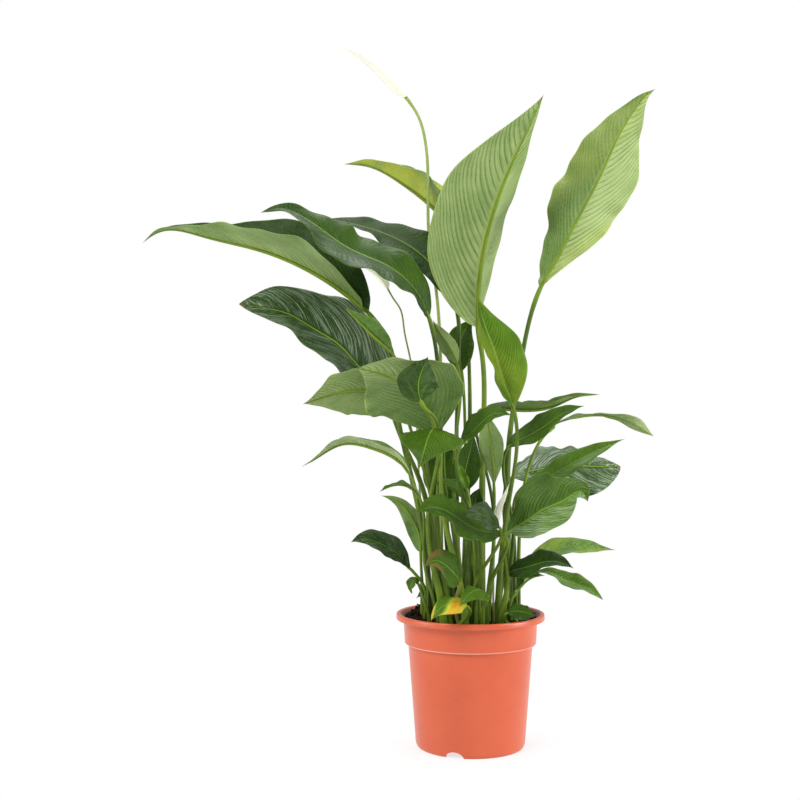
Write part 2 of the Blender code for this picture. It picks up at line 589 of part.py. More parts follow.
def main():
    """Builds the pot, the soil, the leaves and the flowers."""
    clear_scene()
    part = new_collection("potted_peace_lily")
    cutters = new_collection("cutters")
    build_pot(part, cutters)
    build_soil(part)
    for plan in LEAVES:
        build_leaf(plan, part)
    for plan in FLOWERS:
        build_flower(plan, part)


main()
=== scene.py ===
"""A potted peace lily dressed for display.

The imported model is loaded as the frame, and every node is then replaced by a finer piece: leaf blades
with their side veins pressed in, stalks that sheathe each other at the soil, cream spathes round
knobbly spadices, crumbly soil and a moulded nursery pot. Most pieces lie within a few millimetres of
their nodes. Three leaves lie up to 22 mm away: small_dark_front, left_low_front and far_left.
Plans of leaves and flowers are in millimetres, everything else in metres; +Z is up, -Y the front.
"""

import logging
import math
from dataclasses import dataclass, field
from enum import Enum

import bpy
import numpy as np
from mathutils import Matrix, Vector


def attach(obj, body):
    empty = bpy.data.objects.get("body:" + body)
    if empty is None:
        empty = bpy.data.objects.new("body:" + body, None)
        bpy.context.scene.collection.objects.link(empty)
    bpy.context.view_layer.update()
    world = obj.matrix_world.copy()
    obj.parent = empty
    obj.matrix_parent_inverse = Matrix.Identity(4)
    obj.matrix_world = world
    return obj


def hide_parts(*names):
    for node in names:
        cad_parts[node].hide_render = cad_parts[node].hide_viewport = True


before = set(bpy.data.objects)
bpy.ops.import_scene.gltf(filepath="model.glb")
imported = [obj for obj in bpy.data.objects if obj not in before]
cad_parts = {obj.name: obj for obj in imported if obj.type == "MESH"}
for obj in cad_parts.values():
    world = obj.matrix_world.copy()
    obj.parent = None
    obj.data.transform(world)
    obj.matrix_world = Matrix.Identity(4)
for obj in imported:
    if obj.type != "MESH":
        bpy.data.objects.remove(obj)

LOG = logging.getLogger("peace_lily")
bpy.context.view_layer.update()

MM = 0.001
UP = np.array([0.0, 0.0, 1.0])
SOIL_LEVEL = 0.143
TIP_POWER = 1.3

# How far each leaf's waves are shifted from the last one's, and where the shift starts again
PHASE_STEP = 2.39
PHASE_TURN = 6.28

Colour = tuple[float, float, float]
Pair = tuple[float, float]
Spot = tuple[float, float, float]


class Slot(Enum):
    """The record's material slots."""

    POT = "pot"
    SOIL = "soil"
    GREEN = "leaf_green"
    DEEP = "leaf_deep_green"
    PALE = "leaf_underside"
    LIME = "leaf_lime"
    DRY = "leaf_dry_edge"
    YELLOW = "leaf_yellowing"
    STALK = "flower_stalk"
    SPATHE = "spathe"
    SPADIX = "spadix"


class Side(Enum):
    """The side of a blade that a finish is for."""

    UPPER = "upper"
    UNDER = "under"


# --------------------------------------------------------------------------- geometry helpers


def unit(vectors: np.ndarray) -> np.ndarray:
    """Vectors at length one."""
    return vectors / np.maximum(np.linalg.norm(vectors, axis=-1, keepdims=True), 1e-12)


def smooth(low: float, high: float, values: np.ndarray) -> np.ndarray:
    """A smooth step from 0 at low to 1 at high."""
    share = np.clip((values - low) / (high - low), 0.0, 1.0)
    return share * share * (3.0 - 2.0 * share)


def spline(points: np.ndarray, start: int, count: int) -> np.ndarray:
    """Samples a natural cubic curve through points.

    Args:
        points: the points that the curve passes, one a row.
        start: the number of the point to start from.
        count: how many samples to give.

    Returns:
        The samples, evenly spaced by the knots' distances, from that point to the last one.
    """
    steps = np.linalg.norm(np.diff(points, axis=0), axis=1)
    knots = np.concatenate([[0.0], np.cumsum(steps)])
    size = len(points)
    matrix = np.zeros((size, size))
    right = np.zeros((size, 3))
    matrix[0, 0] = matrix[-1, -1] = 1.0
    for index in range(1, size - 1):
        before, after = steps[index - 1], steps[index]
        matrix[index, index - 1:index + 2] = before, 2 * (before + after), after
        rise = (points[index + 1] - points[index]) / after
        right[index] = 6 * (rise - (points[index] - points[index - 1]) / before)
    bend = np.linalg.solve(matrix, right)
    places = np.linspace(knots[start], knots[-1], count)
    piece = np.clip(np.searchsorted(knots, places, side="right") - 1, 0, size - 2)
    length = steps[piece][:, None]
    ahead = (knots[piece + 1] - places)[:, None]
    behind = (places - knots[piece])[:, None]
    return (
        bend[piece] * ahead**3 / (6 * length)
        + bend[piece + 1] * behind**3 / (6 * length)
        + (points[piece] / length - bend[piece] * length / 6) * ahead
        + (points[piece + 1] / length - bend[piece + 1] * length / 6) * behind
    )


def evenly(line: np.ndarray, count: int) -> np.ndarray:
    """The line resampled at count places evenly spaced by its length."""
    lengths = np.concatenate([[0.0], np.cumsum(np.linalg.norm(np.diff(line, axis=0), axis=1))])
    places = np.linspace(0.0, lengths[-1], count)
    return np.stack([np.interp(places, lengths, line[:, axis]) for axis in range(3)], axis=1)


def line_length(line: np.ndarray) -> float:
    """The length of a line of points."""
    return float(np.linalg.norm(np.diff(line, axis=0), axis=1).sum())


def along(rows: tuple, share: np.ndarray) -> np.ndarray:
    """Reads a list of evenly spaced rows at shares of its length.

    Args:
        rows: the values, one row for each evenly spaced place; a bare number counts for both halves.
        share: the places to read, from 0 to 1.

    Returns:
        One row of values for each share.
    """
    table = np.array([np.broadcast_to(row, 2) if np.ndim(row) == 0 else row for row in rows], float)
    if len(table) == 1:
        return np.repeat(table, len(share), axis=0)
    knots = np.linspace(0.0, 1.0, len(table))
    return np.stack([np.interp(share, knots, table[:, axis]) for axis in range(table.shape[1])], axis=1)


def lattice(rows: int, columns: int, closed: bool, flip: bool = False) -> np.ndarray:
    """Quads over a grid of vertices that is numbered row by row.

    Args:
        rows: rows in the grid.
        columns: vertices in a row.
        closed: whether each row's last vertex joins its first.
        flip: whether the faces turn the other way.

    Returns:
        One row of four vertex numbers a face.
    """
    row, column = np.meshgrid(np.arange(rows - 1), np.arange(columns if closed else columns - 1),
                              indexing="ij")
    following = (column + 1) % columns
    quads = np.stack([row * columns + column, row * columns + following,
                      (row + 1) * columns + following, (row + 1) * columns + column], axis=-1)
    quads = quads.reshape(-1, 4)
    return quads[:, ::-1] if flip else quads


@dataclass
class Shell:
    """Vertices, faces, finish numbers and face-corner maps that grow into one mesh."""

    points: list[np.ndarray] = field(default_factory=list)
    faces: list[list[int]] = field(default_factory=list)
    finish: list[int] = field(default_factory=list)
    maps: dict[str, list[np.ndarray]] = field(default_factory=dict)
    count: int = 0

    def add(self, points: np.ndarray, faces: np.ndarray | list, finish: int,
            maps: dict[str, np.ndarray] | None = None) -> None:
        """Adds a piece of surface.

        Args:
            points: its vertices.
            faces: its faces, numbered from its own first vertex.
            finish: the number of its material.
            maps: for each map's name, one pair of coordinates a vertex.
        """
        rows = [[int(corner) + self.count for corner in face] for face in faces]
        self.points.append(points)
        self.faces.extend(rows)
        self.finish.extend([finish] * len(rows))
        for name, values in (maps or {}).items():
            self.maps.setdefault(name, []).append(values)
        self.count += len(points)

    def build(self, name: str, materials: list[bpy.types.Material]) -> bpy.types.Object:
        """Makes the mesh object.

        Args:
            name: the piece's name.
            materials: its materials, in the order of their numbers.

        Returns:
            The object, in the scene, shaded smooth.
        """
        mesh = bpy.data.meshes.new(name)
        points = np.concatenate(self.points)
        mesh.from_pydata(points.tolist(), [], self.faces)
        for material in materials:
            mesh.materials.append(material)
        mesh.polygons.foreach_set("material_index", self.finish)
        corners = np.zeros(len(mesh.loops), dtype=np.int32)
        mesh.loops.foreach_get("vertex_index", corners)
        for title, rows in self.maps.items():
            values = np.concatenate(rows)
            layer = mesh.uv_layers.new(name=title)
            layer.uv.foreach_set("vector", values[corners].astype(np.float32).ravel())
        mesh.shade_smooth()
        mesh.update()
        made = bpy.data.objects.new(name, mesh)
        bpy.context.scene.collection.objects.link(made)
        return made


def tube(shell: Shell, line: np.ndarray, wide: np.ndarray, thick: np.ndarray, side: np.ndarray,
         finish: int, ring: int, maps: dict[str, Pair] | None = None) -> None:
    """Adds a closed tube of oval rings along a line.

    Args:
        shell: the surface that it joins.
        line: its centre points.
        wide: its half width across side at each point.
        thick: its half thickness at each point.
        side: the direction that its width lies in at each point.
        finish: the number of its material.
        ring: how many points each ring has.
        maps: by map name, the values at every point or at each one, beside its own StalkMap.
    """
    ahead = unit(np.gradient(line, axis=0))
    side = unit(side - (side * ahead).sum(axis=1, keepdims=True) * ahead)
    other = np.cross(ahead, side)
    turn = np.linspace(0.0, math.tau, ring, endpoint=False)
    around = np.cos(turn)[None, :, None] * side[:, None, :] * wide[:, None, None]
    around = around + np.sin(turn)[None, :, None] * other[:, None, :] * thick[:, None, None]
    points = (line[:, None, :] + around).reshape(-1, 3)
    lengths = np.concatenate([[0.0], np.cumsum(np.linalg.norm(np.diff(line, axis=0), axis=1))])
    across = np.broadcast_to(np.abs(turn / math.pi - 1.0), (len(line), ring))
    up = np.broadcast_to(lengths[:, None] * 10.0, (len(line), ring))
    values = {"StalkMap": np.stack([across.ravel(), up.ravel()], axis=1)}
    for name, pair in (maps or {}).items():
        rows = np.broadcast_to(np.array(pair, float), (len(line), 2))
        values[name] = np.repeat(rows, ring, axis=0)
    faces = lattice(len(line), ring, closed=True).tolist()
    last = (len(line) - 1) * ring
    faces.append(list(range(ring))[::-1])
    faces.append([last + index for index in range(ring)])
    shell.add(points, faces, finish, values)


# --------------------------------------------------------------------------- finishes


class Graph:
    """A material's nodes, added one at a time."""

    def __init__(self, name: str) -> None:
        """Starts a material with its shader and output."""
        self.material = bpy.data.materials.new(name)
        self.material.use_nodes = True
        self.tree = self.material.node_tree
        self.shader = self.tree.nodes["Principled BSDF"]

    def node(self, kind: str, **settings: object) -> bpy.types.Node:
        """Adds a node of that kind with those settings."""
        made = self.tree.nodes.new(kind)
        for key, value in settings.items():
            setattr(made, key, value)
        return made

    def plug(self, socket: bpy.types.NodeSocket, value: object) -> None:
        """Links a socket to another's output, or sets it to a value."""
        if isinstance(value, bpy.types.NodeSocket):
            self.tree.links.new(value, socket)
        elif isinstance(value, tuple) and len(value) == 3 and socket.type == "RGBA":
            socket.default_value = (*value, 1.0)
        else:
            socket.default_value = value

    def calc(self, kind: str, first: object, second: object = 0.0, clamp: bool = False
             ) -> bpy.types.NodeSocket:
        """Adds a Math node and gives its output."""
        made = self.node("ShaderNodeMath", operation=kind, use_clamp=clamp)
        self.plug(made.inputs[0], first)
        self.plug(made.inputs[1], second)
        return made.outputs[0]

    def blend(self, share: object, first: object, second: object, kind: str = "MIX"
              ) -> bpy.types.NodeSocket:
        """Adds a colour Mix node and gives its output."""
        made = self.node("ShaderNodeMix", data_type="RGBA", blend_type=kind)
        self.plug(made.inputs["Factor"], share)
        self.plug(made.inputs["A"], first)
        self.plug(made.inputs["B"], second)
        return made.outputs["Result"]

    def between(self, value: object, low: float, high: float, first: float = 0.0, last: float = 1.0
                ) -> bpy.types.NodeSocket:
        """Maps a value smoothly from a range onto another."""
        made = self.node("ShaderNodeMapRange", interpolation_type="SMOOTHSTEP")
        self.plug(made.inputs["Value"], value)
        for key, number in (("From Min", low), ("From Max", high), ("To Min", first), ("To Max", last)):
            made.inputs[key].default_value = number
        return made.outputs["Result"]

    def chart(self, name: str) -> tuple[bpy.types.NodeSocket, bpy.types.NodeSocket]:
        """The two coordinates of a named map."""
        source = self.node("ShaderNodeUVMap", uv_map=name)
        apart = self.node("ShaderNodeSeparateXYZ")
        self.plug(apart.inputs[0], source.outputs[0])
        return apart.outputs[0], apart.outputs[1]

    def place(self) -> bpy.types.NodeSocket:
        """Object coordinates, in metres."""
        return self.node("ShaderNodeTexCoord").outputs["Object"]

    def vector(self, first: object, second: object, third: object = 0.0) -> bpy.types.NodeSocket:
        """A vector of three values."""
        made = self.node("ShaderNodeCombineXYZ")
        for slot, value in zip(made.inputs, (first, second, third)):
            self.plug(slot, value)
        return made.outputs[0]

    def noise(self, where: object, scale: float, detail: float = 3.0, rough: float = 0.55
              ) -> bpy.types.NodeSocket:
        """Adds a noise texture and gives its value, about 0.5 in the middle."""
        made = self.node("ShaderNodeTexNoise")
        self.plug(made.inputs["Vector"], where)
        made.inputs["Scale"].default_value = scale
        made.inputs["Detail"].default_value = detail
        made.inputs["Roughness"].default_value = rough
        return made.outputs["Fac"]

    def bump(self, height: object, strength: float, distance: float) -> None:
        """Roughens the surface by a height."""
        made = self.node("ShaderNodeBump")
        made.inputs["Strength"].default_value = strength
        made.inputs["Distance"].default_value = distance
        self.plug(made.inputs["Height"], height)
        self.plug(self.shader.inputs["Normal"], made.outputs["Normal"])

    def surface(self, colour: object, rough: object) -> None:
        """Sets the shader's colour and roughness."""
        self.plug(self.shader.inputs["Base Color"], colour)
        self.plug(self.shader.inputs["Roughness"], rough)

    def glow_through(self, weight: float, radius: Colour, scale: float) -> None:
        """Lets light through thin tissue."""
        self.shader.inputs["Subsurface Weight"].default_value = weight
        self.shader.inputs["Subsurface Radius"].default_value = radius
        self.shader.inputs["Subsurface Scale"].default_value = scale

    def shine(self, specular: float, coat: float = 0.0, coat_rough: float = 0.2) -> None:
        """Sets the mirror-like share of the surface and its clear coat."""
        self.shader.inputs["Specular IOR Level"].default_value = specular
        self.shader.inputs["Coat Weight"].default_value = coat
        self.shader.inputs["Coat Roughness"].default_value = coat_rough


@dataclass(frozen=True)
class BladeFinish:
    """One side of a leaf blade: from its mature colour to its fresh one, with veins and midrib, painted
    shade in the grooves of the veins, painted light on the pillows between them and painted sheen streaks.
    """

    side: Side
    mature: Colour
    fresh: Colour
    # the veins' own colour, which also paints the shade in their grooves
    vein_and_shade: Colour
    midrib: Colour
    midrib_reach: float
    rough: float
    specular: float
    coat: float
    vein_and_shade_share: float
    # the colour of the painted sheen streaks between the veins
    painted_sheen: Colour
    lime: Colour = (0.44, 0.50, 0.045)
    orange: Colour = (0.62, 0.32, 0.015)
    brown: Colour = (0.10, 0.055, 0.018)
    straw: Colour = (0.22, 0.13, 0.05)
    coat_rough: float = 0.28

    def dress(self) -> bpy.types.Material:
        """Builds the material.

        Returns:
            A material that reads the maps LeafMap, VeinMap, TintMap and WearAndSheenMap.
        """
        graph = Graph(f"leaf {self.side.value}")
        _, up = graph.chart("LeafMap")
        phase, reach = graph.chart("VeinMap")
        fresh, yellow = graph.chart("TintMap")
        dry, painted_sheen = graph.chart("WearAndSheenMap")
        place = graph.place()
        drift = graph.between(graph.noise(place, 28.0, 2.0), 0.3, 0.7, -0.28, 0.28)
        phase = graph.calc("ADD", phase, graph.calc("MULTIPLY", drift, reach))

        patches = graph.noise(place, 22.0, 3.0)
        shift = graph.calc("MULTIPLY", graph.between(patches, 0.2, 0.8, -0.3, 0.3),
                           graph.calc("ADD", fresh, 0.2))
        share = graph.calc("ADD", fresh, shift, clamp=True)
        streaks = graph.noise(graph.vector(graph.calc("MULTIPLY", phase, 2.2), reach, up), 1.7, 4.0, 0.75)
        share = graph.calc("ADD", share, graph.calc("MULTIPLY", graph.between(streaks, 0.3, 0.7, -0.3, 0.3),
                                                    graph.calc("ADD", share, 0.15)), clamp=True)
        colour = graph.blend(share, self.mature, self.fresh)

        # The veins take their colour, partly their own tone and partly painted shade in their sunken
        # grooves; the pillows between them take painted light towards the fresh colour.
        nearest = graph.calc("ABSOLUTE", graph.calc("SUBTRACT", graph.calc("FRACT", phase), 0.5))
        groove_shade = graph.between(nearest, 0.26, 0.5)
        pillow_light = graph.calc("MULTIPLY", graph.between(nearest, 0.3, 0.0, 0.0, 0.45), share)
        threads = graph.noise(graph.vector(graph.calc("MULTIPLY", phase, 5.0),
                                           graph.calc("MULTIPLY", reach, 1.3), up), 1.6, 2.0, 0.7)
        thread_share = graph.between(threads, 0.42, 0.66)
        away = graph.between(reach, 0.03, 0.12)
        uneven = graph.between(graph.noise(place, 40.0, 2.0), 0.3, 0.7, 0.45, 1.0)
        groove_shade = graph.calc("MULTIPLY", graph.calc("MULTIPLY", groove_shade, away), uneven)
        # Painted light on the pillows, then the veins' colour with painted shade in their grooves, then the
        # fine veins.
        colour = graph.blend(graph.calc("MULTIPLY", pillow_light, away), colour, self.fresh)
        colour = graph.blend(graph.calc("MULTIPLY", groove_shade, self.vein_and_shade_share), colour, self.vein_and_shade)
        colour = graph.blend(graph.calc("MULTIPLY", thread_share, self.vein_and_shade_share * 0.38), colour,
                             self.vein_and_shade)
        # Pale streaks between the veins: painted sheen, light reflected off the blade and painted into its
        # colour.
        stripes = graph.between(streaks, 0.48, 0.62, 0.04, 1.0)
        pale = graph.calc("MULTIPLY", graph.calc("MULTIPLY", painted_sheen, stripes), away)
        colour = graph.blend(pale, colour, self.painted_sheen)
        fine = graph.noise(place, 420.0, 2.0)
        colour = graph.blend(graph.between(fine, 0.3, 0.75, 0.0, 0.16), colour, self.fresh)

        old = graph.noise(place, 60.0, 4.0, 0.6)
        gone = graph.calc("MULTIPLY", yellow, graph.between(old, 0.25, 0.7, 0.6, 1.25), clamp=True)
        colour = graph.blend(graph.calc("MULTIPLY", gone, 2.0, clamp=True), colour, self.lime)
        ripe = graph.calc("SUBTRACT", graph.calc("MULTIPLY", gone, 2.0), 1.0, clamp=True)
        colour = graph.blend(ripe, colour, self.orange)
        rib = graph.between(reach, 0.0, self.midrib_reach, 1.0, 0.0)
        colour = graph.blend(rib, colour, self.midrib)
        edge = graph.between(reach, 0.965, 1.0, 0.0, 0.35)
        colour = graph.blend(edge, colour, self.midrib)
        crisp = graph.calc("MULTIPLY", dry, graph.between(old, 0.2, 0.6, 0.6, 1.3), clamp=True)
        colour = graph.blend(crisp, colour, graph.blend(old, self.brown, self.straw))

        sheen = graph.between(graph.noise(place, 35.0, 2.0), 0.3, 0.7, self.rough - 0.05,
                              self.rough + 0.07)
        sheen = graph.calc("ADD", sheen, graph.calc("MULTIPLY", crisp, 0.25))
        graph.surface(colour, sheen)
        graph.shine(self.specular, self.coat, self.coat_rough)
        height = graph.calc("ADD", graph.calc("MULTIPLY", threads, 0.8),
                            graph.calc("MULTIPLY", fine, 0.5))
        graph.bump(height, 0.28, 0.0004)
        return graph.material


@dataclass(frozen=True)
class StalkFinish:
    """A round green stalk or midrib with fine lengthwise ribs."""

    name: str
    low: Colour
    high: Colour
    rough: float

    def dress(self) -> bpy.types.Material:
        """Builds the material, which reads the maps StalkMap and TintMap."""
        graph = Graph(self.name)
        across, up = graph.chart("StalkMap")
        fresh, yellow = graph.chart("TintMap")
        lines = graph.noise(graph.vector(graph.calc("MULTIPLY", across, 9.0), up), 2.2, 3.0)
        blotch = graph.noise(graph.place(), 45.0, 3.0)
        share = graph.calc("ADD", fresh, graph.between(blotch, 0.25, 0.75, -0.22, 0.22), clamp=True)
        colour = graph.blend(share, self.low, self.high)
        colour = graph.blend(graph.between(lines, 0.35, 0.7, 0.0, 0.4), colour, self.low)
        colour = graph.blend(yellow, colour, (0.40, 0.27, 0.10))
        graph.surface(colour, graph.between(blotch, 0.2, 0.8, self.rough - 0.06, self.rough + 0.08))
        graph.shine(0.25, 0.03, 0.35)
        graph.bump(lines, 0.25, 0.0005)
        return graph.material


@dataclass(frozen=True)
class PetalFinish:
    """A cream spathe, green towards its keel, its veins and its tip."""

    name: str
    cream: Colour
    green: Colour
    ivory: Colour = (0.93, 0.88, 0.70)

    def dress(self) -> bpy.types.Material:
        """Builds the material, which reads the maps LeafMap and VeinMap."""
        graph = Graph(self.name)
        across, up = graph.chart("LeafMap")
        _, reach = graph.chart("VeinMap")
        place = graph.place()
        streak = graph.noise(graph.vector(graph.calc("MULTIPLY", across, 14.0), up), 2.0, 3.0)
        soft = graph.noise(place, 60.0, 3.0)
        colour = graph.blend(graph.between(soft, 0.3, 0.7, 0.0, 0.3), self.cream, self.ivory)
        colour = graph.blend(graph.between(streak, 0.45, 0.72, 0.0, 0.3), colour, self.green)
        keel = graph.between(reach, 0.0, 0.14, 0.55, 0.0)
        colour = graph.blend(keel, colour, self.green)
        colour = graph.blend(graph.between(up, 0.86, 1.0, 0.0, 0.6), colour, self.green)
        colour = graph.blend(graph.between(up, 0.12, 0.0, 0.0, 0.7), colour, self.green)
        graph.surface(colour, graph.between(soft, 0.3, 0.7, 0.42, 0.56))
        graph.shine(0.4)
        graph.bump(streak, 0.3, 0.0004)
        return graph.material


@dataclass(frozen=True)
class SpadixFinish:
    """The cream spadix, its tiny flowers darker between them."""

    name: str
    cream: Colour
    seam: Colour

    def dress(self) -> bpy.types.Material:
        """Builds the material from cells in object space."""
        graph = Graph(self.name)
        place = graph.place()
        cells = graph.node("ShaderNodeTexVoronoi")
        graph.plug(cells.inputs["Vector"], place)
        cells.inputs["Scale"].default_value = 900.0
        gap = graph.between(cells.outputs["Distance"], 0.25, 0.6)
        dust = graph.noise(place, 300.0, 3.0)
        colour = graph.blend(gap, self.cream, self.seam)
        colour = graph.blend(graph.between(dust, 0.4, 0.7, 0.0, 0.4), colour, (0.86, 0.80, 0.42))
        graph.surface(colour, graph.between(dust, 0.3, 0.7, 0.6, 0.8))
        graph.bump(graph.calc("SUBTRACT", 1.0, gap), 0.4, 0.0003)
        return graph.material


@dataclass(frozen=True)
class PlasticFinish:
    """Moulded terracotta-coloured plastic: satin, faintly mottled and dusty at its rim, with a painted
    highlight line at its collar step and painted shade on its inner wall.
    """

    name: str
    body: Colour
    light: Colour
    # the colour of the dust specks near the rim, and of the painted shade on the inner wall
    dust: Colour
    rough: float
    # the height of the collar step, where a painted highlight line runs
    ledge: float

    def dress(self) -> bpy.types.Material:
        """Builds the material in object space."""
        graph = Graph(self.name)
        place = graph.place()
        apart = graph.node("ShaderNodeSeparateXYZ")
        graph.plug(apart.inputs[0], place)
        flow = graph.node("ShaderNodeMapping")
        graph.plug(flow.inputs["Vector"], place)
        flow.inputs["Scale"].default_value = (1.0, 1.0, 0.12)
        clouds = graph.noise(place, 16.0, 4.0, 0.6)
        streaks = graph.noise(flow.outputs[0], 70.0, 3.0)
        grain = graph.noise(place, 1500.0, 2.0)
        colour = graph.blend(graph.between(clouds, 0.3, 0.7), self.body, self.light)
        colour = graph.blend(graph.between(streaks, 0.4, 0.8, 0.0, 0.12), colour, self.light)
        # A thin lighter line at the collar step, mottled by the clouds: a painted highlight on the ledge's
        # edge.
        level = graph.calc("ABSOLUTE", graph.calc("SUBTRACT", apart.outputs[2], self.ledge))
        ledge_highlight = graph.calc("MULTIPLY", graph.between(level, 0.0004, 0.0013, 0.75, 0.0),
                            graph.between(clouds, 0.3, 0.6, 0.5, 1.0))
        colour = graph.blend(ledge_highlight, colour, (0.86, 0.42, 0.32))
        specks = graph.noise(place, 260.0, 4.0, 0.7)
        near_rim = graph.between(apart.outputs[2], 0.11, 0.152, 0.0, 0.16)
        dirt_and_inner_shade = graph.calc("MULTIPLY", graph.between(specks, 0.6, 0.72), near_rim)
        # The inner wall, where the normals face the axis, is darkened to the dust colour, a little mottled
        # by the specks: painted shade inside the pot.
        shape = graph.node("ShaderNodeNewGeometry")
        level_place = graph.node("ShaderNodeVectorMath", operation="MULTIPLY")
        graph.plug(level_place.inputs[0], shape.outputs["Position"])
        level_place.inputs[1].default_value = (1.0, 1.0, 0.0)
        outward = graph.node("ShaderNodeVectorMath", operation="DOT_PRODUCT")
        graph.plug(outward.inputs[0], level_place.outputs[0])
        graph.plug(outward.inputs[1], shape.outputs["Normal"])
        inside = graph.between(outward.outputs["Value"], -0.055, -0.02, 1.0, 0.0)
        inside = graph.calc("MULTIPLY", inside, graph.between(specks, 0.2, 0.5, 0.8, 1.0))
        # Real dust specks near the rim and painted shade on the inner wall take the dust colour together.
        dirt_and_inner_shade = graph.calc("MAXIMUM", dirt_and_inner_shade, inside)
        colour = graph.blend(dirt_and_inner_shade, colour, self.dust)
        rough = graph.between(clouds, 0.3, 0.7, self.rough - 0.03, self.rough + 0.04)
        rough = graph.calc("ADD", rough, graph.calc("MULTIPLY", dirt_and_inner_shade, 0.3))
        graph.surface(colour, rough)
        graph.shine(0.5)
        graph.glow_through(0.08, (1.0, 0.35, 0.15), 0.002)
        graph.bump(grain, 0.1, 0.0003)
        return graph.material


@dataclass(frozen=True)
class EarthFinish:
    """Damp peat: near black, with brown fibres and a few pale specks."""

    name: str
    wet: Colour
    fibre: Colour
    speck: Colour

    def dress(self) -> bpy.types.Material:
        """Builds the material in object space."""
        graph = Graph(self.name)
        place = graph.place()
        clods = graph.noise(place, 130.0, 5.0, 0.65)
        fibres = graph.noise(place, 480.0, 4.0, 0.7)
        colour = graph.blend(graph.between(clods, 0.35, 0.7), self.wet, self.fibre)
        colour = graph.blend(graph.between(fibres, 0.6, 0.8, 0.0, 0.7), colour, self.speck)
        graph.surface(colour, graph.between(fibres, 0.3, 0.7, 0.75, 0.98))
        graph.shine(0.1)
        graph.bump(graph.calc("ADD", clods, graph.calc("MULTIPLY", fibres, 0.6)), 0.8, 0.0018)
        return graph.material


# --------------------------------------------------------------------------- leaves


@dataclass(frozen=True)
class LeafPlan:
    """One leaf's design, in millimetres and degrees.

    root is where its stalk leaves the soil; stalk and blade are points that its midrib passes. width
    is the widest half, belly how far along that lies, and sides the shares of it that the left and
    the right half reach, in one pair or in several spaced evenly from base to tip. face lists the
    directions that the upper side looks in, fold the angles that the halves rise from flat and curl
    how much further they turn towards the margin. fresh is each half's share of fresh green,
    painted_sheen each half's share of the pale streaks between its veins: painted sheen, light
    reflected off the blade and painted into its colour.
    """

    name: str
    slot: Slot
    root: Pair
    stalk: tuple[Spot, ...]
    blade: tuple[Spot, ...]
    width: float
    belly: float
    face: tuple[Spot, ...]
    fold: tuple
    sides: tuple = (1.0,)
    curl: tuple = (-16.0,)
    wave: float = 1.4
    waves: float = 2.3
    fresh: Pair = (0.5, 0.5)
    tip_fresh: float = 0.0
    yellow: float = 0.0
    dry: float = 0.0
    painted_sheen: Pair = (0.0, 0.0)
    tip_power: float = TIP_POWER
    stalk_fresh: float = 0.5


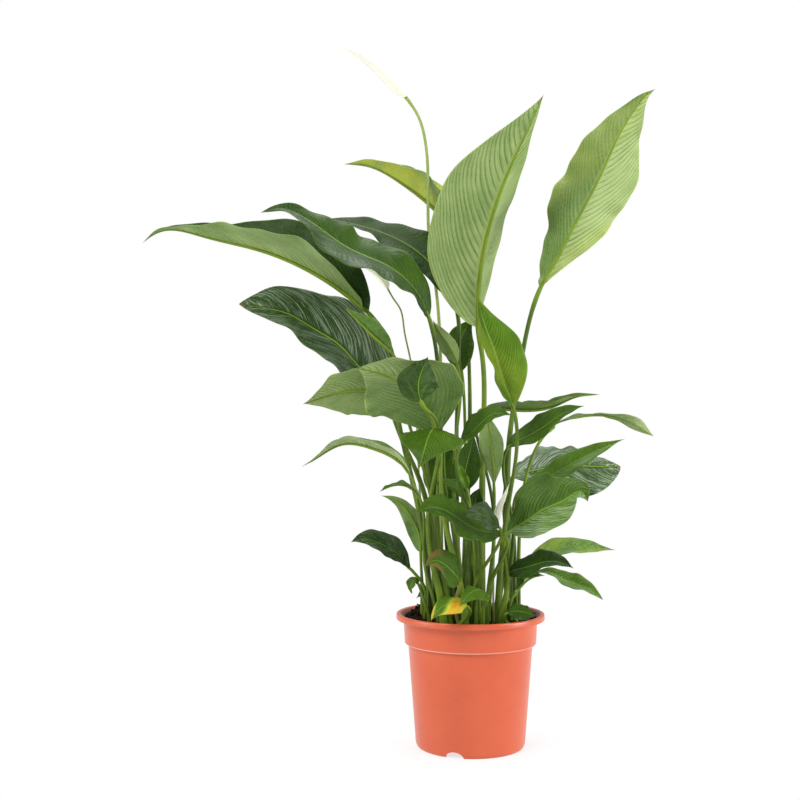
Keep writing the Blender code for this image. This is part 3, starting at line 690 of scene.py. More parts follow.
@dataclass
class Leaf:
    """One leaf: a two-sided blade, and the stalk that runs on under it as its midrib."""

    plan: LeafPlan
    sheet_thickness: float = 0.00036
    stalk_radius: float = 0.0014
    radius_per_width: float = 0.02
    rib_tip_radius: float = 0.00035
    row_pitch: float = 0.0016
    column_pitch: float = 0.0026
    quilt: float = 0.0008
    sunk: float = 0.012
    rib_fresh: float = 0.92
    rib_share: float = 0.22
    sheath_end: float = 0.65
    sheath_flare: float = 1.15
    sheath_swell: float = 0.15
    taper: float = 0.2
    knee_place: float = 0.965
    knee_reach: float = 0.03
    knee_swell: float = 0.14
    start: float = 0.0

    def half_width(self) -> float:
        """The widest half of the blade, in metres."""
        return self.plan.width * MM

    def radius(self) -> float:
        """The stalk's radius where it meets the blade."""
        return self.stalk_radius + self.radius_per_width * self.half_width()

    def lines(self) -> tuple[np.ndarray, np.ndarray]:
        """Finds the stalk's and the midrib's centre lines.

        Returns:
            The stalk's line and the blade's, each a point a row, evenly spaced.
        """
        plan = self.plan
        root = np.array([plan.root[0] * MM, plan.root[1] * MM, SOIL_LEVEL])
        points = np.vstack([root - 0.01 * UP, root, np.array(plan.stalk) * MM,
                            np.array(plan.blade) * MM])
        whole = spline(points, 1, 900)
        split = int(np.argmin(np.linalg.norm(whole - points[2 + len(plan.stalk)], axis=1)))
        stalk, blade = whole[: split + 1], whole[split:]
        rows = int(np.clip(line_length(blade) / self.row_pitch, 24, 190))
        return evenly(stalk, max(8, int(line_length(stalk) / 0.006))), evenly(blade, rows)

    def outline(self, share: np.ndarray) -> tuple[np.ndarray, np.ndarray]:
        """Finds how far each half reaches.

        Args:
            share: places along the blade, from 0 to 1.

        Returns:
            The left and the right half's widths at those places.
        """
        plan = self.plan
        power = plan.tip_power * plan.belly / (1.0 - plan.belly)
        inside = np.clip(share, 1e-6, 1.0 - 1e-6)
        full = self.half_width() * (inside / plan.belly) ** power
        full = full * ((1.0 - inside) / (1.0 - plan.belly)) ** plan.tip_power
        shares = along(plan.sides, share)
        ripple = 0.02 * np.sin(share * 19.0 + self.start)
        least = 0.0004 * (1.0 - share) + 0.0001
        left = np.maximum(full * shares[:, 0] * (1.0 + ripple), least)
        right = np.maximum(full * shares[:, 1] * (1.0 - ripple), least)
        return left, right

    def frames(self, line: np.ndarray, share: np.ndarray) -> tuple[np.ndarray, np.ndarray]:
        """Finds how the blade is turned along its midrib.

        Args:
            line: the midrib's points.
            share: how far along the blade each of them is.

        Returns:
            The direction to the blade's right and the one its upper side looks in, at each point.
        """
        ahead = unit(np.gradient(line, axis=0))
        looks = unit(along(self.plan.face, share))
        side = unit(np.cross(ahead, looks))
        return side, np.cross(side, ahead)

    def half(self, line: np.ndarray, share: np.ndarray, width: np.ndarray, sign: float,
             columns: int) -> dict[str, np.ndarray]:
        """Shapes one half of the blade.

        Args:
            line: the midrib's points.
            share: how far along the blade each of them is.
            width: how far the half reaches at each of them.
            sign: 1 for the right half and -1 for the left.
            columns: how many steps there are from midrib to margin.

        Returns:
            Its points and upper normals, a row a station and a column a step, and each point's
            phase along the veins and share of the way to the margin.
        """
        plan = self.plan
        index = 0 if sign < 0 else 1
        side, normal = self.frames(line, share)
        reach = np.linspace(0.0, 1.0, columns + 1) ** 0.92
        fold = np.radians(along(plan.fold, share)[:, index])
        curl = np.radians(along(plan.curl, share)[:, index])
        ease = smooth(0.0, 0.05, share)
        angle = (fold[:, None] + curl[:, None] * reach[None, :] ** 1.3) * ease[:, None]
        middle = (angle[:, 1:] + angle[:, :-1]) / 2
        step = np.diff(reach)[None, :] * width[:, None]
        out = np.cumsum(np.cos(middle) * step, axis=1)
        rise = np.cumsum(np.sin(middle) * step, axis=1)
        zero = np.zeros((len(line), 1))
        out, rise = np.hstack([zero, out]), np.hstack([zero, rise])
        points = line[:, None, :] + sign * out[..., None] * side[:, None, :]
        points = points + rise[..., None] * normal[:, None, :]
        upper = np.cos(angle)[..., None] * normal[:, None, :]
        upper = upper - sign * np.sin(angle)[..., None] * side[:, None, :]

        length = line_length(line)
        pitch = np.clip(0.17 * self.half_width(), 0.0036, 0.0108)
        sweep = width[:, None] * (1.05 * reach + 0.95 * reach**2.6)[None, :]
        phase = (share[:, None] * length - sweep) / pitch + (0.5 if sign < 0 else 0.0) + 40.0
        rows = smooth(0.03, 0.14, share) * (1.0 - smooth(0.84, 0.97, share))
        cols = smooth(0.02, 0.2, reach) * (1.0 - smooth(0.8, 0.99, reach))
        pillow = np.abs(np.sin(math.pi * phase)) ** 0.75 - 0.68
        lift = self.quilt * min(1.0, pitch / 0.0065) * pillow * rows[:, None] * cols[None, :]
        turn = share * math.tau * plan.waves + self.start + (1.9 if sign < 0 else 0.0)
        wavy = np.sin(turn) + 0.45 * np.sin(turn * 2.3 + 1.1)
        room = np.sin(math.pi * np.clip(share, 0.0, 1.0)) ** 0.7
        lift = lift + plan.wave * MM * (wavy * room)[:, None] * reach[None, :] ** 2.2
        sway = np.sin(share * 8.0 + self.start)[:, None] * np.sin(math.pi * reach)[None, :]
        lift = lift + 0.012 * width[:, None] * sway
        points = points + lift[..., None] * upper
        return {"points": points, "upper": upper, "phase": phase,
                "reach": np.broadcast_to(reach, phase.shape)}

    def sheet(self, line: np.ndarray, share: np.ndarray) -> dict[str, np.ndarray]:
        """Joins the two halves into one grid from the left margin to the right.

        Args:
            line: the midrib's points.
            share: how far along the blade each of them is.

        Returns:
            The grid's points, normals, phases along the veins and signed shares of the way to the margin.
        """
        left_width, right_width = self.outline(share)
        columns = int(np.clip(self.half_width() / self.column_pitch, 5, 22))
        left = self.half(line, share, left_width, -1.0, columns)
        right = self.half(line, share, right_width, 1.0, columns)
        grid = {key: np.concatenate([left[key][:, :0:-1], right[key]], axis=1) for key in left}
        grid["upper"][:, columns] = unit(left["upper"][:, 0] + right["upper"][:, 0])
        rows = len(line)
        down = np.gradient(grid["points"], axis=0)
        across = np.gradient(grid["points"], axis=1)
        exact = unit(np.cross(across, down))
        turned = np.sign((exact * grid["upper"]).sum(axis=2, keepdims=True))
        grid["upper"] = np.where(turned == 0, grid["upper"], exact * turned)
        signs = np.concatenate([-np.ones(columns), [0.0], np.ones(columns)])
        grid["signed"] = grid["reach"] * signs[None, :]
        grid["share"] = np.broadcast_to(share[:, None], (rows, 2 * columns + 1))
        return grid

    def charts(self, grid: dict[str, np.ndarray]) -> dict[str, np.ndarray]:
        """Lays out the maps that the finishes read.

        Args:
            grid: the blade's grid, as sheet gives it.

        Returns:
            For each map's name, a pair of coordinates for each point of the grid.
        """
        plan = self.plan
        reach, share, signed = grid["reach"], grid["share"], grid["signed"]
        right = smooth(-0.12, 0.12, signed)
        fresh = plan.fresh[0] * (1 - right) + plan.fresh[1] * right + plan.tip_fresh * share**2
        patch = 0.5 + 0.5 * np.sin(share * 6.0 + signed * 2.0 + self.start)
        yellow = plan.yellow * smooth(0.2, 0.8, patch)
        tip = smooth(0.965, 0.995, share) * 0.9
        worn = plan.dry * smooth(0.2, 0.8, reach) * smooth(0.5, 0.85, share)
        stack = {
            "LeafMap": (0.5 + signed / 2, share),
            "VeinMap": (grid["phase"], reach),
            "TintMap": (fresh, yellow),
            # The first coordinate is the dry tips and edges, the second each half's share of painted sheen.
            "WearAndSheenMap": (np.maximum(tip, worn), plan.painted_sheen[0] * (1 - right) + plan.painted_sheen[1] * right),
        }
        return {name: np.stack([pair[0].ravel(), pair[1].ravel()], axis=1)
                for name, pair in stack.items()}

    def blade(self, shell: Shell, line: np.ndarray) -> None:
        """Adds the blade's two sides and the edge that joins them.

        Args:
            shell: the surface that they join.
            line: the midrib's points.
        """
        share = np.linspace(0.0, 1.0, len(line))
        grid = self.sheet(line, share)
        rows, columns = grid["phase"].shape
        taper = 1.0 - 0.6 * smooth(0.9, 1.0, grid["reach"])
        left, right = self.outline(share)
        room = np.minimum(self.sheet_thickness, 0.3 * np.minimum(left, right))[:, None]
        offset = (grid["upper"] * (room / 2 * taper)[..., None]).reshape(-1, 3)
        middle = grid["points"].reshape(-1, 3)
        maps = self.charts(grid)
        maps["StalkMap"] = np.zeros((len(middle), 2))
        count = rows * columns
        top = lattice(rows, columns, closed=False)
        under = lattice(rows, columns, closed=False, flip=True) + count
        number = np.arange(count).reshape(rows, columns)
        loop = np.concatenate([number[0], number[1:, -1], number[-1, -2::-1], number[-2:0:-1, 0]])
        after = np.roll(loop, -1)
        rim = np.stack([loop, loop + count, after + count, after], axis=1)
        both = {name: np.concatenate([values, values]) for name, values in maps.items()}
        shell.add(np.concatenate([middle + offset, middle - offset]), np.concatenate([top, under, rim]),
                  0, both)
        first = len(shell.finish) - len(top) - len(under) - len(rim)
        for index in range(first + len(top), first + len(top) + len(under)):
            shell.finish[index] = 1

    def stem(self, shell: Shell, stalk: np.ndarray, blade: np.ndarray) -> None:
        """Adds the stalk, sheathed at its foot, and the midrib that it becomes.

        Args:
            shell: the surface that it joins.
            stalk: the stalk's points.
            blade: the midrib's points.
        """
        share = np.linspace(0.0, 1.0, len(blade))
        side, _ = self.frames(blade, share)
        rib = evenly(blade, max(10, len(blade) // 2))
        places = np.linspace(0.0, 1.0, len(rib))
        rib_side, rib_normal = self.frames(rib, places)
        radius = self.radius()
        below = radius * (1.0 - places) ** 0.8 + self.rib_tip_radius
        narrow = self.rib_share * np.min(self.outline(places), axis=0) + 0.00008
        below = np.where(places < 0.1, np.minimum(below, radius), np.minimum(below, narrow))
        hang = smooth(0.0, 0.05, places) * (below - np.minimum(self.sheet_thickness * 0.6, below * 0.5))
        rib = rib - hang[:, None] * rib_normal
        foot = stalk[0] - self.sunk * UP
        line = np.vstack([foot, stalk, rib[1:]])
        lengths = np.linspace(0.0, 1.0, len(stalk))
        open_sheath = np.clip(1.0 - lengths / self.sheath_end, 0.0, 1.0)
        wide = radius * (1.0 + self.sheath_flare * open_sheath + self.taper * (1.0 - lengths))
        thick = radius * (1.0 + self.sheath_swell * open_sheath + self.taper * (1.0 - lengths))
        knee = np.exp(-(((lengths - self.knee_place) / self.knee_reach) ** 2)) * self.knee_swell
        wide, thick = wide * (1.0 + knee), thick * (1.0 + knee)
        wide = np.concatenate([[wide[0]], wide, below[1:] * 0.95])
        thick = np.concatenate([[thick[0]], thick, below[1:]])
        stalk_side = np.repeat(side[:1], len(stalk) + 1, axis=0)
        sides = np.vstack([stalk_side, rib_side[1:]])
        on_blade = smooth(len(stalk) - 6.0, len(stalk) + 3.0, np.arange(len(line)))
        fresh = self.plan.stalk_fresh * (1.0 - on_blade) + self.rib_fresh * on_blade
        tint = np.stack([fresh, np.full_like(fresh, self.plan.dry * 0.3)], axis=1)
        maps = {"TintMap": tint, "LeafMap": (0.5, 0.5),
                "VeinMap": (0.0, 0.5), "WearAndSheenMap": (0.0, 0.0)}
        tube(shell, line, wide, thick, sides, 2, 10, maps)

    def build(self, finishes: list[bpy.types.Material]) -> bpy.types.Object:
        """Makes the leaf and puts it in place of its node.

        Args:
            finishes: the upper side's, the underside's and the stalk's material.

        Returns:
            The leaf.
        """
        shell = Shell()
        stalk, blade = self.lines()
        self.blade(shell, blade)
        self.stem(shell, stalk, blade)
        made = shell.build(f"{self.plan.name}_grown", finishes)
        settle(made, self.plan.slot, self.plan.name)
        return made


def settle(piece: bpy.types.Object, slot: Slot, *nodes: str) -> None:
    """Rides a piece on the plant's one body, in place of nodes.

    Args:
        piece: the finished piece.
        slot: the record's material slot for the piece; not used.
        nodes: the nodes that it stands for.
    """
    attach(piece, "root")
    if nodes:
        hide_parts(*nodes)
    LOG.info("%s: %d faces", piece.name, len(piece.data.polygons))


# --------------------------------------------------------------------------- flowers


@dataclass(frozen=True)
class FlowerPlan:
    """One flower's design in millimetres: its stalk, its spathe and how that opens."""

    number: int
    stalk: tuple[Spot, ...]
    spathe: tuple[Spot, ...]
    width: float
    face: Spot
    fold: float
    scape_radius: float
    scape_fresh: float


@dataclass
class Flower:
    """One flower: a round stalk, a boat-shaped spathe and the knobbly spadix inside it."""

    plan: FlowerPlan
    spadix_radius: float = 0.0026
    knob: float = 0.00075
    spadix_share: float = 0.62
    floret_count: int = 150
    floret_corners: int = 6

    def stalk(self, finish: bpy.types.Material) -> bpy.types.Object:
        """Makes the stalk.

        Args:
            finish: its material.

        Returns:
            The stalk.
        """
        points = np.array(self.plan.stalk) * MM
        line = evenly(spline(points, 0, 600), 90)
        share = np.linspace(0.0, 1.0, len(line))
        radius = self.plan.scape_radius * (1.12 - 0.3 * share)
        radius = radius * (1.0 + 0.25 * smooth(0.97, 1.0, share))
        line = np.vstack([line[0] - 0.012 * UP, line])
        radius = np.concatenate([[radius[0]], radius])
        shell = Shell()
        side = np.tile([[1.0, 0.2, 0.0]], (len(line), 1))
        maps = {"TintMap": (self.plan.scape_fresh, 0.0)}
        tube(shell, line, radius, radius, side, 0, 14, maps)
        made = shell.build(f"flower_stem_{self.plan.number}_grown", [finish])
        settle(made, Slot.STALK, f"flower_stem_{self.plan.number}")
        return made

    def spathe_leaf(self) -> Leaf:
        """The spathe's shape as a leaf without a stalk."""
        plan = self.plan
        shape = LeafPlan(f"spathe_{plan.number}", Slot.SPATHE, (0.0, 0.0), (), plan.spathe, plan.width,
                         0.30, (plan.face,), (plan.fold,), curl=(22.0, 34.0, 10.0), wave=0.35)
        return Leaf(shape, sheet_thickness=0.0005, row_pitch=0.0011, column_pitch=0.0009,
                    quilt=0.0001, start=plan.number * 1.3)

    def spathe(self, finish: bpy.types.Material) -> bpy.types.Object:
        """Makes the spathe.

        Args:
            finish: its material.

        Returns:
            The spathe.
        """
        leaf = self.spathe_leaf()
        line = evenly(spline(np.array(self.plan.spathe) * MM, 0, 600), 90)
        shell = Shell()
        leaf.blade(shell, line)
        side, normal = leaf.frames(line, np.linspace(0.0, 1.0, len(line)))
        share = np.linspace(0.0, 1.0, len(line))
        radius = self.plan.scape_radius * 0.8 * (1.0 - share) ** 1.5 + 0.00025
        maps = {"LeafMap": (0.5, 0.04), "VeinMap": (0.0, 0.0), "TintMap": (0.5, 0.0),
                "WearAndSheenMap": (0.0, 0.0)}
        tube(shell, line - radius[:, None] * 0.7 * normal, radius, radius, side, 0, 10, maps)
        made = shell.build(f"spathe_{self.plan.number}_grown", [finish, finish])
        settle(made, Slot.SPATHE, f"spathe_{self.plan.number}")
        return made

    def spadix(self, finish: bpy.types.Material) -> bpy.types.Object:
        """Makes the spadix, its florets set along a golden-angle spiral.

        Args:
            finish: its material.

        Returns:
            The spadix.
        """
        leaf = self.spathe_leaf()
        keel = evenly(spline(np.array(self.plan.spathe) * MM, 0, 600), 120)
        share = np.linspace(0.0, 1.0, len(keel))
        side, normal = leaf.frames(keel, share)
        size = self.spadix_radius * min(1.0, self.plan.width / 9.0)
        first, last = int(0.1 * len(keel)), int(self.spadix_share * len(keel))
        line = (keel + normal * size * 2.3)[first:last]
        line = np.vstack([keel[int(0.03 * len(keel))], line])
        places = np.linspace(0.0, 1.0, len(line))
        radius = size * (1.0 - places**6) ** 0.5 * (0.45 + 0.55 * smooth(0.0, 0.12, places)) + 0.0002
        shell = Shell()
        sides = np.vstack([side[first:first + 1], side[first:last]])
        tube(shell, line, radius, radius, sides, 0, 16)
        self.florets(shell, line, radius, sides)
        made = shell.build(f"spadix_{self.plan.number}_grown", [finish])
        settle(made, Slot.SPADIX, f"spadix_{self.plan.number}")
        return made

    def florets(self, shell: Shell, line: np.ndarray, radius: np.ndarray, sides: np.ndarray) -> None:
        """Adds the florets as small domes.

        Args:
            shell: the surface that they join.
            line: the spadix's centre points.
            radius: its radius at each of them.
            sides: a direction across it at each of them.
        """
        ahead = unit(np.gradient(line, axis=0))
        other = np.cross(ahead, sides)
        golden = math.pi * (3.0 - math.sqrt(5.0))
        corners = self.floret_corners
        ring = np.linspace(0.0, math.tau, corners + 1)[:-1]
        for index in range(self.floret_count):
            share = 0.1 + 0.88 * (index + 0.5) / self.floret_count
            row = int(share * (len(line) - 1))
            out = math.cos(index * golden) * sides[row] + math.sin(index * golden) * other[row]
            across = np.cross(ahead[row], out)
            size = self.knob * float(np.clip(radius[row] / self.spadix_radius, 0.35, 1.0))
            centre = line[row] + out * radius[row] * 0.93
            around = np.cos(ring)[:, None] * across + np.sin(ring)[:, None] * ahead[row]
            shoulder = centre + out * size * 0.55 + 0.7 * size * around
            points = np.vstack([centre + size * around, shoulder, centre + out * size * 0.8])
            faces = lattice(2, corners, closed=True).tolist()
            faces += [[corners + step, corners + (step + 1) % corners, 2 * corners]
                      for step in range(corners)]
            faces.append(list(range(corners))[::-1])
            shell.add(points, faces, 0, {"StalkMap": np.zeros((len(points), 2))})


# --------------------------------------------------------------------------- pot and soil


def turned(shell: Shell, profile: np.ndarray, steps: int, finish: int) -> None:
    """Adds a profile turned about Z, closed where it starts and ends on the axis.

    Args:
        shell: the surface that it joins.
        profile: (radius, height) pairs, from one end on the axis to the other.
        steps: how many steps a full turn has.
        finish: the number of its material.
    """
    turn = np.linspace(0.0, math.tau, steps, endpoint=False)
    inner = profile[1:-1]
    points = np.stack([inner[:, :1] * np.cos(turn), inner[:, :1] * np.sin(turn),
                       np.repeat(inner[:, 1:], steps, axis=1)], axis=-1).reshape(-1, 3)
    ends = np.array([[0.0, 0.0, profile[0, 1]], [0.0, 0.0, profile[-1, 1]]])
    faces = lattice(len(inner), steps, closed=True).tolist()
    total, last = len(points), (len(inner) - 1) * steps
    for step in range(steps):
        after = (step + 1) % steps
        faces.append([total, after, step])
        faces.append([last + step, last + after, total + 1])
    shell.add(np.vstack([points, ends]), [face[::-1] for face in faces], finish)


def fillet(points: list[Pair], radius: float, parts: int = 4) -> list[Pair]:
    """Rounds the inner corners of a profile.

    Args:
        points: the profile's corners.
        radius: how far from a corner its rounding starts, at most.
        parts: how many pieces each rounding has.

    Returns:
        The rounded profile.
    """
    made = [points[0]]
    for before, corner, after in zip(points, points[1:], points[2:]):
        here = np.array(corner)
        back, on = np.array(before) - here, np.array(after) - here
        reach = min(radius, 0.45 * float(np.linalg.norm(back)), 0.45 * float(np.linalg.norm(on)))
        start, end = here + unit(back) * reach, here + unit(on) * reach
        for share in np.linspace(0.0, 1.0, parts + 1):
            spot = (1 - share) ** 2 * start + 2 * share * (1 - share) * here + share**2 * end
            made.append((float(spot[0]), float(spot[1])))
    made.append(points[-1])
    return made


@dataclass
class Pot:
    """The round nursery pot, with its collar, rolled lip, arched foot notches and drain holes."""

    height: float = 0.152
    rim_radius: float = 0.085
    base_radius: float = 0.06225
    body_top_radius: float = 0.071
    collar_height: float = 0.034
    collar_radius: float = 0.0765
    collar_foot_radius: float = 0.0752
    lip_height: float = 0.007
    wall: float = 0.0016
    floor_underside: float = 0.008
    floor_thickness: float = 0.002
    pad_radius: float = 0.014
    notches: int = 3
    notch_width: float = 0.021
    notch_height: float = 0.0072
    first_notch: float = -110.0
    drain_radius: float = 0.004
    drain_ring: float = 0.045
    steps: int = 180

    def profile(self) -> np.ndarray:
        """Draws the pot's outline.

        Returns:
            (radius, height) pairs from the floor's middle, over the rim and back below.
        """
        top, foot = self.height, self.height - self.collar_height
        lip = top - self.lip_height
        floor = self.floor_underside + self.floor_thickness
        wall = self.wall
        upper = [
            (0.0, floor), (self.base_radius - wall + 0.0009, floor),
            (self.body_top_radius - wall, foot - 0.003), (self.collar_foot_radius - wall, foot + 0.001),
            (self.collar_radius - wall, lip + 0.003), (self.rim_radius - 0.0044, top - 0.0002),
            (self.rim_radius - 0.0003, top), (self.rim_radius, lip + 0.0004),
            (self.rim_radius - 0.0022, lip), (self.collar_radius, lip - 0.0008),
            (self.collar_foot_radius, foot + 0.0004), (self.collar_foot_radius - 0.0006, foot - 0.0004),
            (self.body_top_radius + 0.0004, foot - 0.0006), (self.body_top_radius - 0.0001, foot - 0.004),
            (self.base_radius + 0.0004, 0.004), (self.base_radius - 0.0016, 0.0),
            (self.base_radius - 0.0045, 0.0), (self.base_radius - 0.0045, self.floor_underside),
            (self.pad_radius, self.floor_underside), (self.pad_radius - 0.001, 0.0), (0.0, 0.0),
        ]
        return np.array(fillet(upper, 0.0017))

    def cutter(self, name: str, radius: float, length: float, spot: Spot, turn: Spot,
               scale: Spot = (1.0, 1.0, 1.0)) -> bpy.types.Object:
        """Makes a round cutter.

        Args:
            name: its name.
            radius: its radius.
            length: its length.
            spot: the middle of it.
            turn: its rotation.
            scale: its stretch along its own axes.

        Returns:
            The cutter.
        """
        bpy.ops.mesh.primitive_cylinder_add(vertices=48, radius=radius, depth=length, location=spot,
                                            rotation=turn)
        made = bpy.context.active_object
        made.name = name
        made.scale = scale
        return made

    def cutters(self) -> list[bpy.types.Object]:
        """Makes the cutters of the notches and of the drain holes."""
        made = []
        for number in range(self.notches):
            angle = math.radians(self.first_notch) + number * math.tau / self.notches
            reach = self.base_radius - 0.0025
            made.append(self.cutter(
                f"notch_{number}", self.notch_height, 0.012,
                (reach * math.cos(angle), reach * math.sin(angle), 0.0),
                (math.pi / 2, 0.0, angle + math.pi / 2),
                (self.notch_width / 2 / self.notch_height, 1.0, 1.0)))
            angle += math.pi / self.notches
            made.append(self.cutter(
                f"drain_{number}", self.drain_radius, 0.012,
                (self.drain_ring * math.cos(angle), self.drain_ring * math.sin(angle),
                 self.floor_underside + 0.001), (0.0, 0.0, 0.0)))
        return made

    def build(self, finish: bpy.types.Material) -> bpy.types.Object:
        """Makes the pot and puts it in place of its node.

        Args:
            finish: its plastic.

        Returns:
            The pot.
        """
        shell = Shell()
        turned(shell, self.profile(), self.steps, 0)
        made = shell.build("pot_moulded", [finish])
        cutters = self.cutters()
        for cutter in cutters:
            cut = made.modifiers.new(cutter.name, "BOOLEAN")
            cut.operation = "DIFFERENCE"
            cut.solver = "EXACT"
            cut.object = cutter
        bpy.context.view_layer.update()
        ready = made.evaluated_get(bpy.context.evaluated_depsgraph_get())
        mesh = bpy.data.meshes.new_from_object(ready)
        made.modifiers.clear()
        made.data = mesh
        for cutter in cutters:
            bpy.data.objects.remove(cutter, do_unlink=True)
        mesh.shade_smooth()
        mesh.set_sharp_from_angle(angle=math.radians(38.0))
        settle(made, Slot.POT, "pot")
        return made


@dataclass
class Soil:
    """The peat in the pot: a lumpy top over a plain root ball, with crumbs and bits of bark."""

    pot: Pot
    level: float = SOIL_LEVEL
    rings: int = 60
    spokes: int = 144
    crumbs: int = 620
    chips: int = 26
    seed: int = 11

    def inner(self) -> list[Pair]:
        """Finds the pot's inside.

        Returns:
            (radius, height) pairs from the soil's edge down to the floor, just clear of the wall.
        """
        pot, clear = self.pot, 0.0007
        foot = pot.height - pot.collar_height
        return [
            (pot.collar_radius - pot.wall - clear, self.level - 0.001),
            (pot.collar_foot_radius - pot.wall - clear, foot + 0.002),
            (pot.body_top_radius - pot.wall - clear, foot - 0.003),
            (pot.base_radius - pot.wall - clear, pot.floor_underside + pot.floor_thickness + 0.0006),
        ]

    def swell(self, x: np.ndarray, y: np.ndarray) -> np.ndarray:
        """The height of the soil's lumps over its level at points of the pot."""
        waves = np.random.default_rng(self.seed)
        height = np.zeros_like(x)
        for size, lift in ((0.045, 0.0016), (0.020, 0.0013), (0.009, 0.0010), (0.0045, 0.0007)):
            for _ in range(7):
                turn, start = waves.uniform(0.0, math.tau, 2)
                pitch = math.tau / (size * waves.uniform(0.75, 1.3))
                height += lift * 0.42 * np.sin(pitch * (x * math.cos(turn) + y * math.sin(turn)) + start)
        mound = 0.005 * np.exp(-(((x + 0.052) ** 2 + (y - 0.042) ** 2) / 0.0006))
        heaped = 0.0055 * smooth(0.01, 0.06, y) + 0.004 * smooth(0.045, 0.07, np.abs(x))
        return height + mound + heaped

    def ball(self, shell: Shell) -> None:
        """Adds the root ball with its lumpy top.

        Args:
            shell: the surface that it joins.
        """
        edge = self.inner()
        share = np.linspace(0.0, 1.0, self.rings) ** 0.85
        radius = share[1:] * edge[0][0]
        turn = np.linspace(0.0, math.tau, self.spokes, endpoint=False)
        x = radius[:, None] * np.cos(turn)
        y = radius[:, None] * np.sin(turn)
        fade = 1.0 - 0.7 * smooth(0.93, 1.0, share[1:])
        z = self.level + self.swell(x, y) * fade[:, None]
        points = [np.stack([x, y, z], axis=-1).reshape(-1, 3)]
        for reach, height in edge[1:]:
            points.append(np.stack([reach * np.cos(turn), reach * np.sin(turn),
                                    np.full_like(turn, height)], axis=-1))
        grid = np.vstack(points)
        rows = len(grid) // self.spokes
        ends = np.array([[0.0, 0.0, self.level + float(self.swell(np.zeros(1), np.zeros(1))[0])],
                         [0.0, 0.0, edge[-1][1]]])
        faces = lattice(rows, self.spokes, closed=True, flip=True).tolist()
        total, last = len(grid), (rows - 1) * self.spokes
        for step in range(self.spokes):
            after = (step + 1) % self.spokes
            faces.append([total, step, after])
            faces.append([last + after, last + step, total + 1])
        shell.add(np.vstack([grid, ends]), faces, 0)

    def scatter(self, shell: Shell) -> None:
        """Adds crumbs of peat and chips of bark on the top.

        Args:
            shell: the surface that they join.
        """
        chance = np.random.default_rng(self.seed + 1)
        reach = self.inner()[0][0] - 0.002
        for index in range(self.crumbs + self.chips):
            chip = index >= self.crumbs
            far = reach * math.sqrt(chance.uniform(0.0, 1.0))
            turn = chance.uniform(0.0, math.tau)
            if chip:
                far, turn = reach * chance.uniform(0.8, 1.0), chance.uniform(-0.75, 0.5)
            x, y = far * math.cos(turn), far * math.sin(turn)
            size = chance.uniform(0.0008, 0.0024) if not chip else chance.uniform(0.0022, 0.0042)
            z = self.level + float(self.swell(np.array([x]), np.array([y]))[0])
            stretch = chance.uniform(0.6, 1.4, 3)
            if chip:
                stretch = np.array([chance.uniform(1.2, 2.0), chance.uniform(0.5, 0.9), 0.45])
                z += chance.uniform(0.0, 0.0035)
            self.crumb(shell, np.array([x, y, z + size * 0.2]), size, stretch, chance, 1 if chip else 0)

    def crumb(self, shell: Shell, centre: np.ndarray, size: float, stretch: np.ndarray,
              chance: np.random.Generator, finish: int) -> None:
        """Adds one crumb, an uneven ball.

        Args:
            shell: the surface that it joins.
            centre: its middle.
            size: its radius.
            stretch: its stretch along three axes.
            chance: the source of its unevenness.
            finish: the number of its material.
        """
        rows, ring = 5, 8
        tilt = np.linspace(0.0, math.pi, rows + 2)[1:-1]
        turn = np.linspace(0.0, math.tau, ring, endpoint=False)
        ball = np.stack([np.sin(tilt)[:, None] * np.cos(turn), np.sin(tilt)[:, None] * np.sin(turn),
                         np.repeat(np.cos(tilt)[:, None], ring, axis=1)], axis=-1).reshape(-1, 3)
        ball = np.vstack([ball, [[0.0, 0.0, 1.0], [0.0, 0.0, -1.0]]])
        ball = ball * chance.uniform(0.72, 1.18, (len(ball), 1)) * stretch * size
        spin, lean = chance.uniform(0.0, math.tau), chance.uniform(-0.7, 0.7)
        about = np.array([[math.cos(spin), -math.sin(spin), 0.0], [math.sin(spin), math.cos(spin), 0.0],
                          [0.0, 0.0, 1.0]])
        over = np.array([[1.0, 0.0, 0.0], [0.0, math.cos(lean), -math.sin(lean)],
                         [0.0, math.sin(lean), math.cos(lean)]])
        points = ball @ (about @ over).T + centre
        faces = lattice(rows, ring, closed=True, flip=True).tolist()
        last = (rows - 1) * ring
        for step in range(ring):
            after = (step + 1) % ring
            faces.append([rows * ring, step, after])
            faces.append([last + after, last + step, rows * ring + 1])
        shell.add(points, faces, finish)

    def build(self, finishes: list[bpy.types.Material]) -> bpy.types.Object:
        """Makes the soil and puts it in place of its node.

        Args:
            finishes: the peat and the bark.

        Returns:
            The soil.
        """
        shell = Shell()
        self.ball(shell)
        self.scatter(shell)
        made = shell.build("soil_crumbled", finishes)
        settle(made, Slot.SOIL, "soil")
        return made


# --------------------------------------------------------------------------- studio


